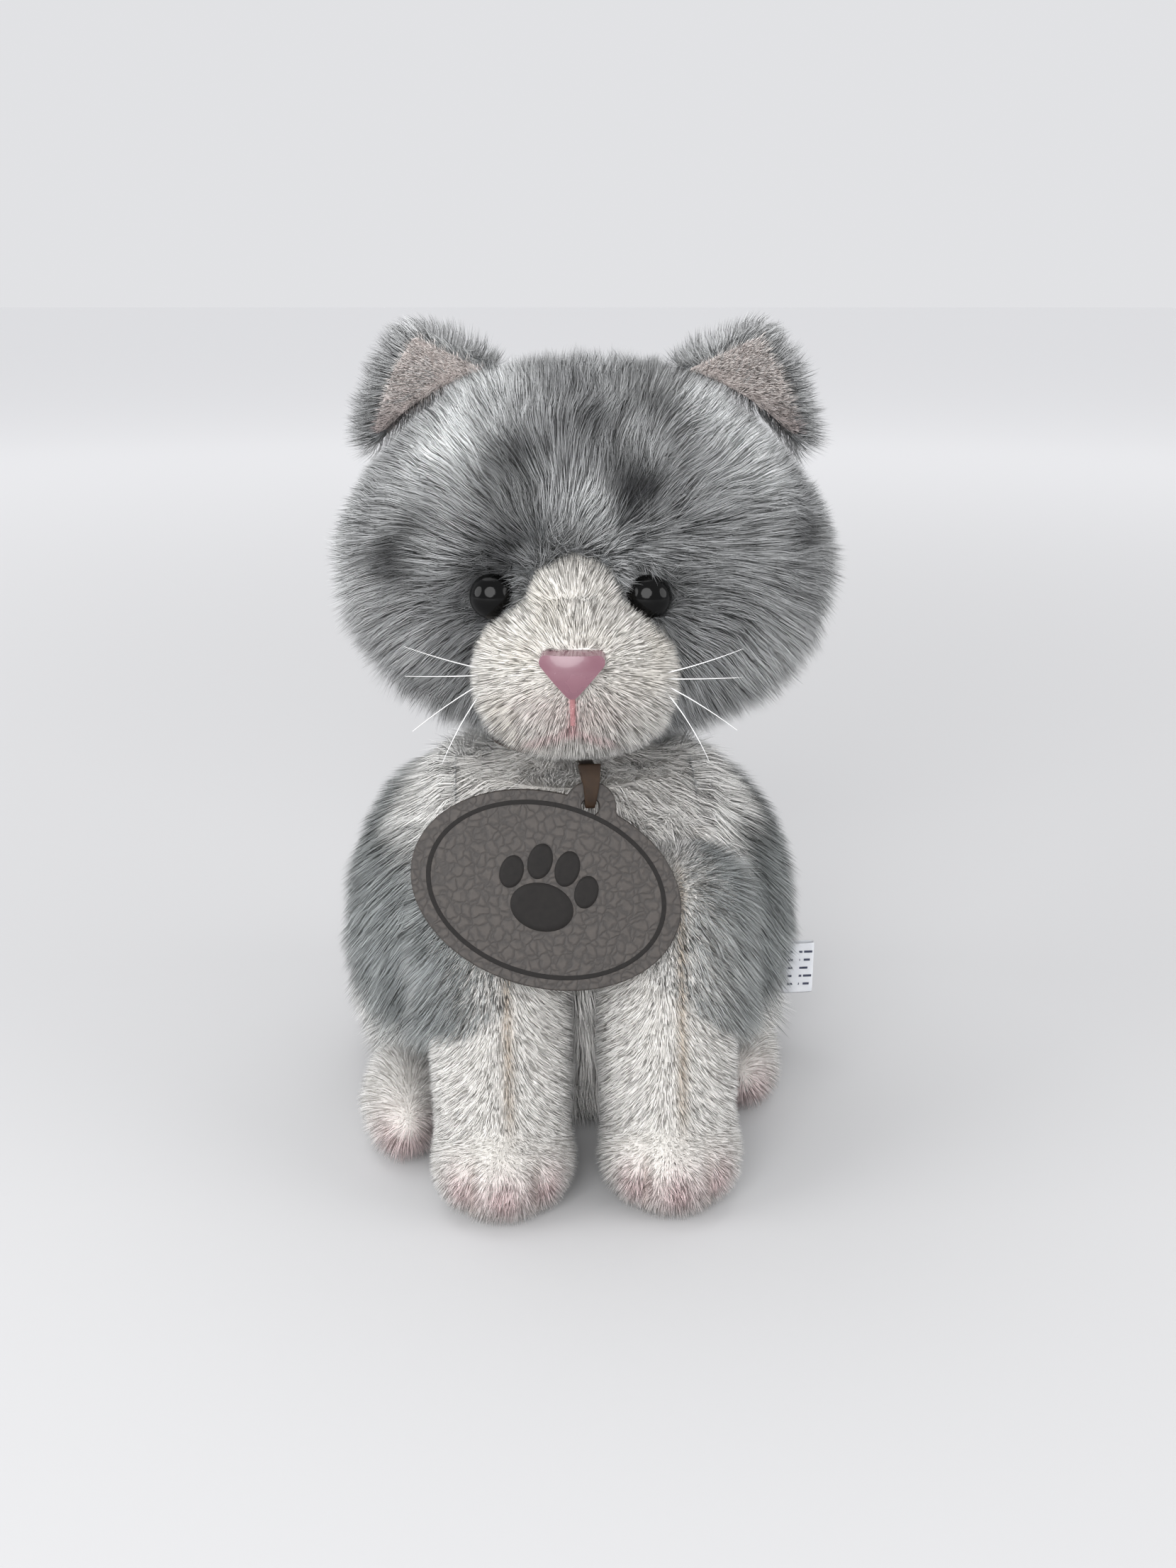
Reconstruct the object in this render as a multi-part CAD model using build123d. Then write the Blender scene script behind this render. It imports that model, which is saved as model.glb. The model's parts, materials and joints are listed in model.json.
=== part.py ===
from build123d import *
import os

os.makedirs("parts", exist_ok=True)

# Sitting plush cat, in millimetres. The cat looks along -Y, its left side is +X, and +Z is up.
# The origin lies on the flat seat, under the middle of the body. Every outer surface is the
# middle of the pile, so a skin's thickness is the backing cloth and its pile together.

# ---- cloth and fit -------------------------------------------------------------------------
long_pile = 6.5          # backing and pile on the body, head, tail and ear backs
short_pile = 3.0         # backing and pile on the muzzle, forelegs, hind feet and ear linings
seam_gap = 0.15          # stitched-in edge between two neighbouring skins
stuffing_gap = 0.05      # stuffing stops this far inside its skin
joint_gap = 0.6          # air between pieces that move past each other

# ---- torso: level, half width, half depth and middle of each cross-section -------------------
seat_level = 0.0
seat_sections = [(0.0, 37.0, 35.0, 9.0), (9.0, 46.0, 42.0, 7.0), (25.0, 50.0, 45.0, 4.0)]
chest_sections = [(44.0, 50.0, 46.0, -1.0), (60.0, 46.5, 42.0, -4.0), (73.0, 38.0, 34.0, -6.0)]
shoulder_level = 83.0
shoulder_half_width = 24.0
bib_half_width = 25.0
bib_back = -8.0          # the bib's side seams run here, front to back
seat_panel_height = long_pile + 0.5     # takes in the whole floor of the skin

# ---- bean pouch ------------------------------------------------------------------------------
pouch_half_width = 28.0
pouch_half_depth = 24.0
pouch_half_height = 8.5
pouch_wall = 0.8

# ---- neck ------------------------------------------------------------------------------------
neck_y = -6.0
neck_ball_radius = 11.0
neck_ball_level = 88.0
neck_stalk_radius = 8.0
neck_stalk_bottom = 68.0
neck_thread_radius = 0.8
ribbon_ring_radius = 15.0
ribbon_thickness = 0.8
ribbon_width = 3.0

# ---- head ------------------------------------------------------------------------------------
head_centre = (3.0, -8.0, 124.0)
head_yaw = -6.0
head_half_width = 51.0
head_half_depth = 44.0
head_half_height = 38.0
gusset_half_width = 17.0
head_back_seam = 14.0    # the back panel starts here, behind the ears
muzzle_centre = (-0.5, -39.0, -17.0)
muzzle_radii = (18.2, 15.5, 15.2)
bridge_centre = (-0.5, -40.5, -5.0)
bridge_radii = (8.5, 7.5, 9.0)

# ---- eyes, nose, whiskers and mouth ------------------------------------------------------------
eye_radius = 4.3
eye_spacing = 29.0
eye_offset = -1.3
eye_y = -39.8
eye_level = -2.7
shank_radius = 1.1
shank_length = 13.0
washer_radius = 5.0
washer_thickness = 1.2
nose_centre = (-0.3, -53.9, -13.6)
nose_half_width = 7.4
nose_height = 8.6
nose_depth = 3.4
nose_corner = 1.3
whisker_radius = 0.2
whisker_spread = (-16.0, -4.0, 8.0, 20.0)
whisker_length = 17.0
mouth_thread_radius = 0.5

# ---- ears: corners of each ear in the head's frame, on the cat's left side -----------------------
ear_inner = (15.0, 36.0)
ear_outer = (51.0, 15.0)
ear_tip = (36.5, 53.0)
ear_y = 4.0
ear_back_thickness = 4.2
ear_lining_thickness = 2.2
ear_lining_margin = 3.2
ear_corner = 4.0
ear_swing_room = 1.6

# ---- forelegs --------------------------------------------------------------------------------
leg_x = 17.0
shoulder_y = -42.0
leg_joint_level = 55.0
shoulder_radius = 14.0
wrist_radius = 12.6
wrist_y = -54.0
wrist_level = 12.0
paw_centre_y = -57.0
paw_radii = (13.8, 14.0, 11.5)
leg_back_swing = 3.0
leg_front_swing = 12.0
leg_sweep_steps = 4

# ---- hind feet -------------------------------------------------------------------------------
hind_foot_radii = (9.5, 20.0, 9.5)
hind_foot_x = 37.0
hind_foot_left_y = -11.0     # the cat's left foot lies further back than its right one
hind_foot_right_y = -27.0
hind_foot_level = 7.5

# ---- tail ------------------------------------------------------------------------------------
tail_base_y = 51.0
tail_radius = 8.5
tail_straight = 14.0
tail_bend_radius = 26.0
tail_bend_angle = 80.0

# ---- swing tag, in its own plane: x to the cat's left, y up the face, z out of the face ----------
tag_half_length = 26.3
tag_half_height = 18.6
tag_thickness = 1.6
tag_tilt = -17.0
tag_centre = (-8.7, -15.6)
tag_tab_radius = 5.0
tag_hole_radius = 1.7
tag_hole = (1.0, -51.0, 81.3)
tag_lean = 19.0
ribbon_pin_gap = 0.4
ribbon_knot = (1.0, -48.6, 88.0)
ribbon_lead_stop = 3.4     # the lead ends this far short of the fold's hinge

# ---- care label ------------------------------------------------------------------------------
label_gap = 0.9          # from the torso's widest section, so that the label clears it as it flaps
label_y = 3.0
label_level = 14.0
label_length = 8.0
label_height = 13.0
label_thickness = 0.8
label_fold_gap = 0.6


BIG = 400.0              # reaches past the whole cat
UP = (Align.CENTER, Align.CENTER, Align.MIN)


def ellipsoid(centre, radii):
    """Closed ellipsoid about a centre."""
    return Pos(*centre) * scale(Sphere(1.0), by=radii)


def shrunk(radii, wall):
    """The radii of the same ellipsoid, one wall further in."""
    return tuple(r - wall for r in radii)


def slab(low, high):
    """Axis-aligned block between two corners."""
    size = [b - a for a, b in zip(low, high)]
    middle = [(a + b) / 2 for a, b in zip(low, high)]
    return Pos(*middle) * Box(*size)


def rod(start, end, radius):
    """Straight round bar from one point to another."""
    start = Vector(*start)
    run = Vector(*end) - start
    return Plane(origin=start, z_dir=run) * Cylinder(radius, run.length, align=UP)


def bodies(shape):
    """The solids of a result as one compound, or the solid itself if there is only one."""
    found = [s for s in shape.solids() if s.volume > 0.05]
    return found[0] if len(found) == 1 else Compound(children=found)


def save(name, shape):
    """Write one sub-part."""
    part = bodies(shape)
    part.label = name
    export_step(part, f"parts/{name}.step")


# ---- torso ---------------------------------------------------------------------------------------
def torso_form(wall):
    """Body of the cat without head or legs, one wall inside the pile."""
    levels = seat_sections + chest_sections
    faces = []
    for level, half_width, half_depth, middle in levels:
        level = level + wall if level == seat_level else level
        ellipse = Ellipse(half_width - wall, half_depth - wall)
        faces.append(Pos(0, middle, level) * ellipse)
    top = shoulder_level - wall
    faces.append(Pos(0, neck_y, top) * Ellipse(shoulder_half_width - wall, shoulder_half_width - wall))
    return loft(faces)


def leg_form(side, wall):
    """Foreleg from shoulder to toes, one wall inside its pile."""
    x = side * leg_x
    shoulder = Pos(x, shoulder_y, leg_joint_level) * Sphere(shoulder_radius - wall)
    run = Vector(0, wrist_y - shoulder_y, wrist_level - leg_joint_level)
    plane = Plane(origin=(x, shoulder_y, leg_joint_level), z_dir=run)
    column = plane * Cone(shoulder_radius - wall, wrist_radius - wall, run.length, align=UP)
    wrist = Pos(x, wrist_y, wrist_level) * Sphere(wrist_radius - wall)
    paw_level = paw_radii[2] - 1.5
    paw = ellipsoid((x, paw_centre_y, paw_level), shrunk(paw_radii, wall))
    leg = shoulder + column + wrist + paw
    return leg & slab((-BIG, -BIG, seat_level + wall), (BIG, BIG, BIG))


def leg_sweep(side):
    """Room that a foreleg needs in the chest over its whole swing."""
    x = side * leg_x
    room = Pos(x, shoulder_y, leg_joint_level) * Sphere(shoulder_radius + joint_gap)
    run = Vector(0, wrist_y - shoulder_y, -leg_joint_level)
    swing = leg_back_swing + leg_front_swing
    for step in range(leg_sweep_steps):
        angle = leg_back_swing - swing * step / (leg_sweep_steps - 1)
        direction = run.rotate(Axis.X, angle)
        plane = Plane(origin=(x, shoulder_y, leg_joint_level), z_dir=direction)
        room += plane * Cylinder(
            shoulder_radius + joint_gap, leg_joint_level + shoulder_radius, align=UP
        )
    return room


def neck_room():
    """Socket in the torso for the neck's stuffing and its seam thread."""
    stalk_bottom = neck_stalk_bottom - joint_gap
    stalk = Pos(0, neck_y, stalk_bottom) * Cylinder(
        neck_stalk_radius + joint_gap, shoulder_level - stalk_bottom + 5, align=UP
    )
    ball_bottom = neck_ball_level - neck_ball_radius - joint_gap
    cup = Pos(0, neck_y, ball_bottom) * Cylinder(
        neck_ball_radius + joint_gap, 30, align=UP
    )
    return stalk + cup


def hind_foot_form(side, wall):
    """One hind foot, lying flat beside the seat."""
    y = hind_foot_left_y if side > 0 else hind_foot_right_y
    foot = ellipsoid((side * hind_foot_x, y, hind_foot_level), shrunk(hind_foot_radii, wall))
    return foot & slab((-BIG, -BIG, seat_level + wall), (BIG, BIG, BIG))


torso_outer = torso_form(0.0)
torso_inner = torso_form(long_pile)
sides = {"left": 1, "right": -1}
leg_rooms = {name: leg_sweep(side) for name, side in sides.items()}
foot_forms = {name: hind_foot_form(side, 0.0) for name, side in sides.items()}
tail_socket = Pos(0, tail_base_y, tail_radius) * Sphere(tail_radius + joint_gap)
torso_cuts = [leg_rooms["left"], leg_rooms["right"], neck_room(), tail_socket]
torso_cuts += [foot_forms["left"], foot_forms["right"]]

torso_skin = torso_outer - torso_inner
for cut in torso_cuts:
    torso_skin -= cut
bib_room = slab((-bib_half_width, -BIG, seat_panel_height), (bib_half_width, bib_back, BIG))
seat_room = slab((-BIG, -BIG, -BIG), (BIG, BIG, seat_panel_height))
save("seat_panel", torso_skin & seat_room)
save("bib_panel", torso_skin & bib_room)
flanks = torso_skin - seat_room - bib_room
save("left_flank_panel", flanks & slab((seam_gap / 2, -BIG, -BIG), (BIG, BIG, BIG)))
save("right_flank_panel", flanks & slab((-BIG, -BIG, -BIG), (-seam_gap / 2, BIG, BIG)))

pouch_centre = (0, seat_sections[1][3], long_pile + pouch_half_height + 1.0)
pouch_radii = (pouch_half_width, pouch_half_depth, pouch_half_height)
pouch = ellipsoid(pouch_centre, pouch_radii)
pellets = ellipsoid(pouch_centre, shrunk(pouch_radii, pouch_wall))
save("bean_pouch", pouch - pellets)
save("bean_fill", pellets)

torso_stuffing = torso_form(long_pile + stuffing_gap) - pouch
for cut in torso_cuts:
    torso_stuffing -= cut
save("torso_stuffing", torso_stuffing)

for name, side in sides.items():
    inner = hind_foot_form(side, short_pile)
    save(f"{name}_hind_foot_skin", foot_forms[name] - inner)
    save(f"{name}_hind_foot_stuffing", hind_foot_form(side, short_pile + stuffing_gap))

# ---- forelegs ------------------------------------------------------------------------------------
for name, side in sides.items():
    save(f"{name}_foreleg_skin", leg_form(side, 0.0) - leg_form(side, short_pile))
    save(f"{name}_foreleg_stuffing", leg_form(side, short_pile + stuffing_gap))

# ---- neck ----------------------------------------------------------------------------------------
neck_centre = (0, neck_y, neck_ball_level)
neck_ball = Pos(*neck_centre) * Sphere(neck_ball_radius)
neck_stalk_length = neck_ball_level - neck_stalk_bottom
neck_stalk = Pos(0, neck_y, neck_stalk_bottom) * Cylinder(neck_stalk_radius, neck_stalk_length, align=UP)
neck_stuffing = neck_ball + neck_stalk
save("neck_stuffing", neck_stuffing)
thread_level = shoulder_level - 2 * neck_thread_radius
thread_drop = neck_ball_level - thread_level
thread_ring_radius = (neck_ball_radius**2 - thread_drop**2) ** 0.5 + neck_thread_radius
neck_thread = Pos(0, neck_y, thread_level) * Torus(thread_ring_radius, neck_thread_radius)
save("neck_seam_thread", neck_thread - neck_stuffing)

# ---- head ----------------------------------------------------------------------------------------
head_place = Location(head_centre, (0, 0, head_yaw))
head_radii = (head_half_width, head_half_depth, head_half_height)
head_socket = head_place.inverse() * (Pos(*neck_centre) * Sphere(neck_ball_radius + joint_gap))
head_outer = ellipsoid((0, 0, 0), head_radii)
head_inner = ellipsoid((0, 0, 0), shrunk(head_radii, long_pile))
muzzle_outer = ellipsoid(muzzle_centre, muzzle_radii) + ellipsoid(bridge_centre, bridge_radii)
muzzle_inner = ellipsoid(muzzle_centre, shrunk(muzzle_radii, short_pile))
muzzle_inner += ellipsoid(bridge_centre, shrunk(bridge_radii, short_pile))


def eye_part(side):
    """Safety eye: a dome on a straight shank."""
    x = eye_offset + side * eye_spacing / 2
    dome = ellipsoid((x, eye_y, eye_level), (eye_radius, eye_radius * 0.8, eye_radius))
    return dome + rod((x, eye_y, eye_level), (x, eye_y + shank_length, eye_level), shank_radius)


def washer(x, y, z, radius):
    """Locking washer, square to a shank that points straight back."""
    disc = rod((x, y, z), (x, y + washer_thickness, z), radius)
    return disc - rod((x, y - 1, z), (x, y + washer_thickness + 1, z), shank_radius)


def nose_part():
    """Moulded nose: a rounded triangle with a crowned front, on a shank."""
    x, y, z = nose_centre
    brow = nose_height * 0.42
    outline = Polygon((nose_half_width, brow), (-nose_half_width, brow), (0, brow - nose_height), align=None)
    outline = fillet(outline.vertices(), nose_corner)
    face = Plane(origin=(x, y + nose_depth, z), x_dir=(1, 0, 0), z_dir=(0, -1, 0))
    pad = extrude(face * outline, 2 * nose_depth)
    crown = ellipsoid((x, y + nose_depth, z), (nose_half_width * 1.5, 2 * nose_depth, nose_height * 1.1))
    return (pad & crown) + rod((x, y + nose_depth, z), (x, y + shank_length, z), shank_radius)


def whisker_group(side):
    """Four nylon whiskers that fan out of one side of the muzzle."""
    root_x = muzzle_centre[0] + side * (muzzle_radii[0] - 1.5)
    root = Vector(root_x, muzzle_centre[1] - 3.0, muzzle_centre[2] - 1.0)
    group = []
    for angle in whisker_spread:
        lean = Vector(side, -0.35, 0).normalized().rotate(Axis.Y, -side * angle)
        start = root + Vector(0, 0, angle * 0.05)
        group.append(rod(start, start + lean * whisker_length, whisker_radius) - muzzle_outer)
    return Compound(children=[s for g in group for s in g.solids()])


eyes = {name: eye_part(side) for name, side in sides.items()}
eye_washers = {}
for name, side in sides.items():
    eye_x = eye_offset + side * eye_spacing / 2
    eye_washers[name] = washer(eye_x, eye_y + shank_length - 4.0, eye_level, washer_radius)
nose = nose_part()
nose_washer_y = nose_centre[1] + shank_length - 4.0
nose_washer = washer(nose_centre[0], nose_washer_y, nose_centre[2], washer_radius - 1.0)
mouth_top = (nose_centre[0], muzzle_centre[1] - muzzle_radii[1] + 0.1, muzzle_centre[2] - 1.0)
mouth_low = (nose_centre[0], muzzle_centre[1] - muzzle_radii[1] + 1.4, muzzle_centre[2] - 6.5)
mouth = rod(mouth_top, mouth_low, mouth_thread_radius) - nose

fittings = [nose, nose_washer, mouth] + list(eyes.values()) + list(eye_washers.values())
head_skin = head_outer - head_inner - muzzle_outer - head_socket
muzzle_skin = muzzle_outer - muzzle_inner - head_inner
head_stuffing = ellipsoid((0, 0, 0), shrunk(head_radii, long_pile + stuffing_gap)) - head_socket
muzzle_stuffing = muzzle_inner - head_inner
for fitting in fittings:
    head_skin -= fitting
    muzzle_skin -= fitting
    head_stuffing -= fitting
    muzzle_stuffing -= fitting

back_room = slab((-BIG, head_back_seam, -BIG), (BIG, BIG, BIG))
gusset_room = slab((-gusset_half_width, -BIG, 0), (gusset_half_width, head_back_seam, BIG))
head_front = head_skin - back_room
head_sides = head_front - gusset_room
head_parts = {
    "head_back_panel": head_skin & back_room,
    "forehead_gusset": head_front & gusset_room,
    "left_cheek_panel": head_sides & slab((seam_gap / 2, -BIG, -BIG), (BIG, BIG, BIG)),
    "right_cheek_panel": head_sides & slab((-BIG, -BIG, -BIG), (-seam_gap / 2, BIG, BIG)),
    "muzzle_panel": muzzle_skin,
    "head_stuffing": head_stuffing,
    "muzzle_stuffing": muzzle_stuffing,
    "nose": nose,
    "nose_washer": nose_washer,
    "mouth_stitch": mouth,
}
for name, side in sides.items():
    head_parts[f"{name}_eye"] = eyes[name]
    head_parts[f"{name}_eye_washer"] = eye_washers[name]
    head_parts[f"{name}_whiskers"] = whisker_group(side)


def ear_outline(margin):
    """Ear seen from the front, one margin inside its edge."""
    outline = Polygon(ear_inner, ear_outer, ear_tip, align=None)
    outline = fillet(outline.vertices(), ear_corner)
    return outline if margin == 0 else offset(outline, amount=-margin)


def ear_layer(margin, front, thickness):
    """One layer of the left ear, clear of the head over the ear's travel."""
    face = Plane(origin=(0, front + thickness, 0), x_dir=(1, 0, 0), z_dir=(0, -1, 0)) * ear_outline(margin)
    clear = ellipsoid((0, 0, 0), shrunk(head_radii, -ear_swing_room))
    return extrude(face, thickness) - clear


ear_back = ear_layer(0, ear_y, ear_back_thickness)
ear_lining = ear_layer(ear_lining_margin, ear_y - ear_lining_thickness, ear_lining_thickness)
head_parts["left_ear_back"] = ear_back
head_parts["left_ear_lining"] = ear_lining
head_parts["right_ear_back"] = mirror(ear_back, about=Plane.YZ)
head_parts["right_ear_lining"] = mirror(ear_lining, about=Plane.YZ)
for name, shape in head_parts.items():
    save(name, head_place * shape)


# ---- tail ----------------------------------------------------------------------------------------
def tail_form(wall):
    """Tail lying on the ground, bent towards the cat's left."""
    start = Vector(0, tail_base_y, tail_radius)
    path = Line(start, start + Vector(0, tail_straight, 0))
    path += JernArc(start=path @ 1, tangent=(0, 1, 0), radius=tail_bend_radius, arc_size=-tail_bend_angle)
    tube = sweep(Plane(origin=start, z_dir=(0, 1, 0)) * Circle(tail_radius - wall), path=path)
    return tube + Pos(*start) * Sphere(tail_radius - wall) + Pos(*(path @ 1)) * Sphere(tail_radius - wall)


save("tail_skin", tail_form(0.0) - tail_form(long_pile))
save("tail_stuffing", tail_form(long_pile + stuffing_gap))

# ---- swing tag -----------------------------------------------------------------------------------
# The tag's plane stands on its hole: x to the cat's left, y up the face, z out of the face.
tag_plane = Plane(origin=tag_hole, x_dir=(1, 0, 0), z_dir=Vector(0, -1, 0).rotate(Axis.X, -tag_lean))
oval = Pos(*tag_centre) * Rot(0, 0, tag_tilt) * Ellipse(tag_half_length, tag_half_height)
tag_face = oval + Circle(tag_tab_radius)
tag_face -= Circle(tag_hole_radius)
tag = extrude(Pos(0, 0, -tag_thickness / 2) * tag_face, tag_thickness)
save("swing_tag", tag_plane * tag)

# The ribbon is folded over the tab: one end in front, one behind, and a fold through the hole.
fold_offset = tag_thickness / 2 + ribbon_pin_gap
ribbon = Pos(0, 0, -fold_offset) * Cylinder(tag_hole_radius - ribbon_pin_gap, 2 * fold_offset, align=UP)
bridge_y = tag_tab_radius + 2 * ribbon_pin_gap + ribbon_width / 2
for front in (1, -1):
    strand_z = front * (fold_offset + ribbon_thickness / 2)
    strand_length = bridge_y + ribbon_width / 2
    ribbon += Pos(0, bridge_y / 2, strand_z) * Box(ribbon_width, strand_length, ribbon_thickness)
bridge = Pos(0, bridge_y, 0) * Box(ribbon_width, ribbon_width / 2, 2 * (fold_offset + ribbon_thickness))
save("tag_ribbon", tag_plane * (ribbon + bridge))

# A flat ribbon lies round the neck, on the shoulders, and reaches forward to the fold.
ring = Cylinder(ribbon_ring_radius + ribbon_width, ribbon_thickness, align=UP)
ring -= Cylinder(ribbon_ring_radius, ribbon_thickness, align=UP)
lead_y = neck_y - ribbon_ring_radius - ribbon_width / 2
lead_start = Vector(ribbon_knot[0], lead_y, shoulder_level + ribbon_thickness / 2)
lead_run = Vector(*ribbon_knot) - lead_start
lead_plane = Plane(origin=lead_start, x_dir=(1, 0, 0), z_dir=lead_run)
lead = lead_plane * Box(ribbon_width, ribbon_thickness, lead_run.length - ribbon_lead_stop, align=UP)
neck_ribbon = Pos(0, neck_y, shoulder_level) * ring + lead
save("neck_ribbon", neck_ribbon)

# ---- care label ----------------------------------------------------------------------------------
widest = max(half_width for level, half_width, half_depth, middle in seat_sections + chest_sections)
label_x = widest + label_gap
label_end = label_x + label_length
label_top = label_level + label_height
leaf_step = label_thickness + label_fold_gap
label_back = label_y + leaf_step
front_leaf = slab((label_x, label_y, label_level), (label_end, label_y + label_thickness, label_top))
back_leaf = slab((label_x, label_back, label_level), (label_end, label_back + label_thickness, label_top))
fold_start = label_end - label_thickness
fold = slab((fold_start, label_y, label_level), (label_end, label_back + label_thickness, label_top))
save("care_label", front_leaf + back_leaf + fold)
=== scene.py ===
"""Sitting plush cat: sewn skins, combed pile, filling, trim, swing tag and care label."""

import json
import logging
import math
from dataclasses import dataclass
from enum import Enum
from typing import Callable, Sequence

import bmesh
import bpy
import numpy as np
from mathutils import Matrix, Vector, kdtree

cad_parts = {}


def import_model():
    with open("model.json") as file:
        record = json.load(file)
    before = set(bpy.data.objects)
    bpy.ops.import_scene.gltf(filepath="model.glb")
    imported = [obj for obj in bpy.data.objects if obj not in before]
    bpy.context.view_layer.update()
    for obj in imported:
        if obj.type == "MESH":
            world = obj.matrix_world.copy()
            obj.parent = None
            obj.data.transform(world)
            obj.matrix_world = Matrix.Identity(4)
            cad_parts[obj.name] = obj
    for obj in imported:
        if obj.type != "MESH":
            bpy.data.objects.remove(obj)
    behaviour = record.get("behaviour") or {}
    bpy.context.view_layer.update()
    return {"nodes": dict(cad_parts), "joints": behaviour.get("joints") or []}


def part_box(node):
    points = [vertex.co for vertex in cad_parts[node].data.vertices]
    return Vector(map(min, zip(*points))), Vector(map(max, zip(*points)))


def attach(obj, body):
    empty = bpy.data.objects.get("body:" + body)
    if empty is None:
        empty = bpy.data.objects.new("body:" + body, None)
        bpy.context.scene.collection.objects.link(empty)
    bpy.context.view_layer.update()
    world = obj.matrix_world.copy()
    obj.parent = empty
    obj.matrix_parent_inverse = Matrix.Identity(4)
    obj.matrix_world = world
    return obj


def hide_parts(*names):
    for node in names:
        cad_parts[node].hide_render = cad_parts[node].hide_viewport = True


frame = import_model()

LOG = logging.getLogger("plush_cat")
MM = 0.001
UP = np.array((0.0, 0.0, 1.0))
BAKE_MAP = "OFBake"      # UV map; strands of one lock share a cell of it
FLOOR_CLEARANCE = 0.25 * MM
EAR_TIP_DEPTH = 15 * MM  # height of the ear's tip that is drawn down
EAR_TIP_DROP = 0.42      # share of that height taken off
EAR_TIP_KEPT = 0.58
HEAD_PANELS = ("forehead_gusset", "left_cheek_panel", "right_cheek_panel", "head_back_panel")

Colour = tuple[float, float, float]
Point = tuple[float, float, float]
Field = Callable[[np.ndarray], np.ndarray]


class Side(Enum):
    """The cat's own left and right, by the sign of X."""

    LEFT = 1
    RIGHT = -1

    @property
    def word(self) -> str:
        """The side's name as used in piece names."""
        return self.name.lower()


# ---- small mathematics ---------------------------------------------------------------------------


def unit(v: np.ndarray) -> np.ndarray:
    """Rows of v at length one."""
    return v / np.maximum(np.linalg.norm(v, axis=-1, keepdims=True), 1e-12)


def smoothstep(x: np.ndarray, low: float, high: float) -> np.ndarray:
    """0 below low, 1 above high, and a smooth rise between."""
    t = np.clip((x - low) / (high - low), 0.0, 1.0)
    return t * t * (3.0 - 2.0 * t)


def bump(points: np.ndarray, centre: Point, radii: Point) -> np.ndarray:
    """A smooth hump, 1 at the centre and near 0 past the radii."""
    d = (points - np.array(centre)) / np.array(radii)
    return np.exp(-(d * d).sum(axis=1))


def lattice_noise(points: np.ndarray, cell: float, seed: int) -> np.ndarray:
    """Smooth repeatable noise in space.

    Args:
        points: Places, one a row, in metres.
        cell: Distance over which the noise changes, in metres.
        seed: Chooses the pattern.

    Returns:
        One value from -1 to 1 for each point.
    """
    p = points / cell
    low = np.floor(p).astype(np.int64)
    f = p - low
    f = f * f * (3.0 - 2.0 * f)
    total = np.zeros(len(points))
    for corner in range(8):
        step = np.array((corner & 1, corner >> 1 & 1, corner >> 2 & 1))
        at = low + step
        h = at[:, 0] * 374761393 + at[:, 1] * 668265263 + at[:, 2] * 1442695041 + seed * 1013904223
        h = (h ^ (h >> 13)) * 1274126177
        h = (h ^ (h >> 16)) & 0xFFFF
        weight = np.where(step == 1, f, 1.0 - f).prod(axis=1)
        total += weight * (h / 32767.5 - 1.0)
    return total


# ---- shader groups and finishes ------------------------------------------------------------------


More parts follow.
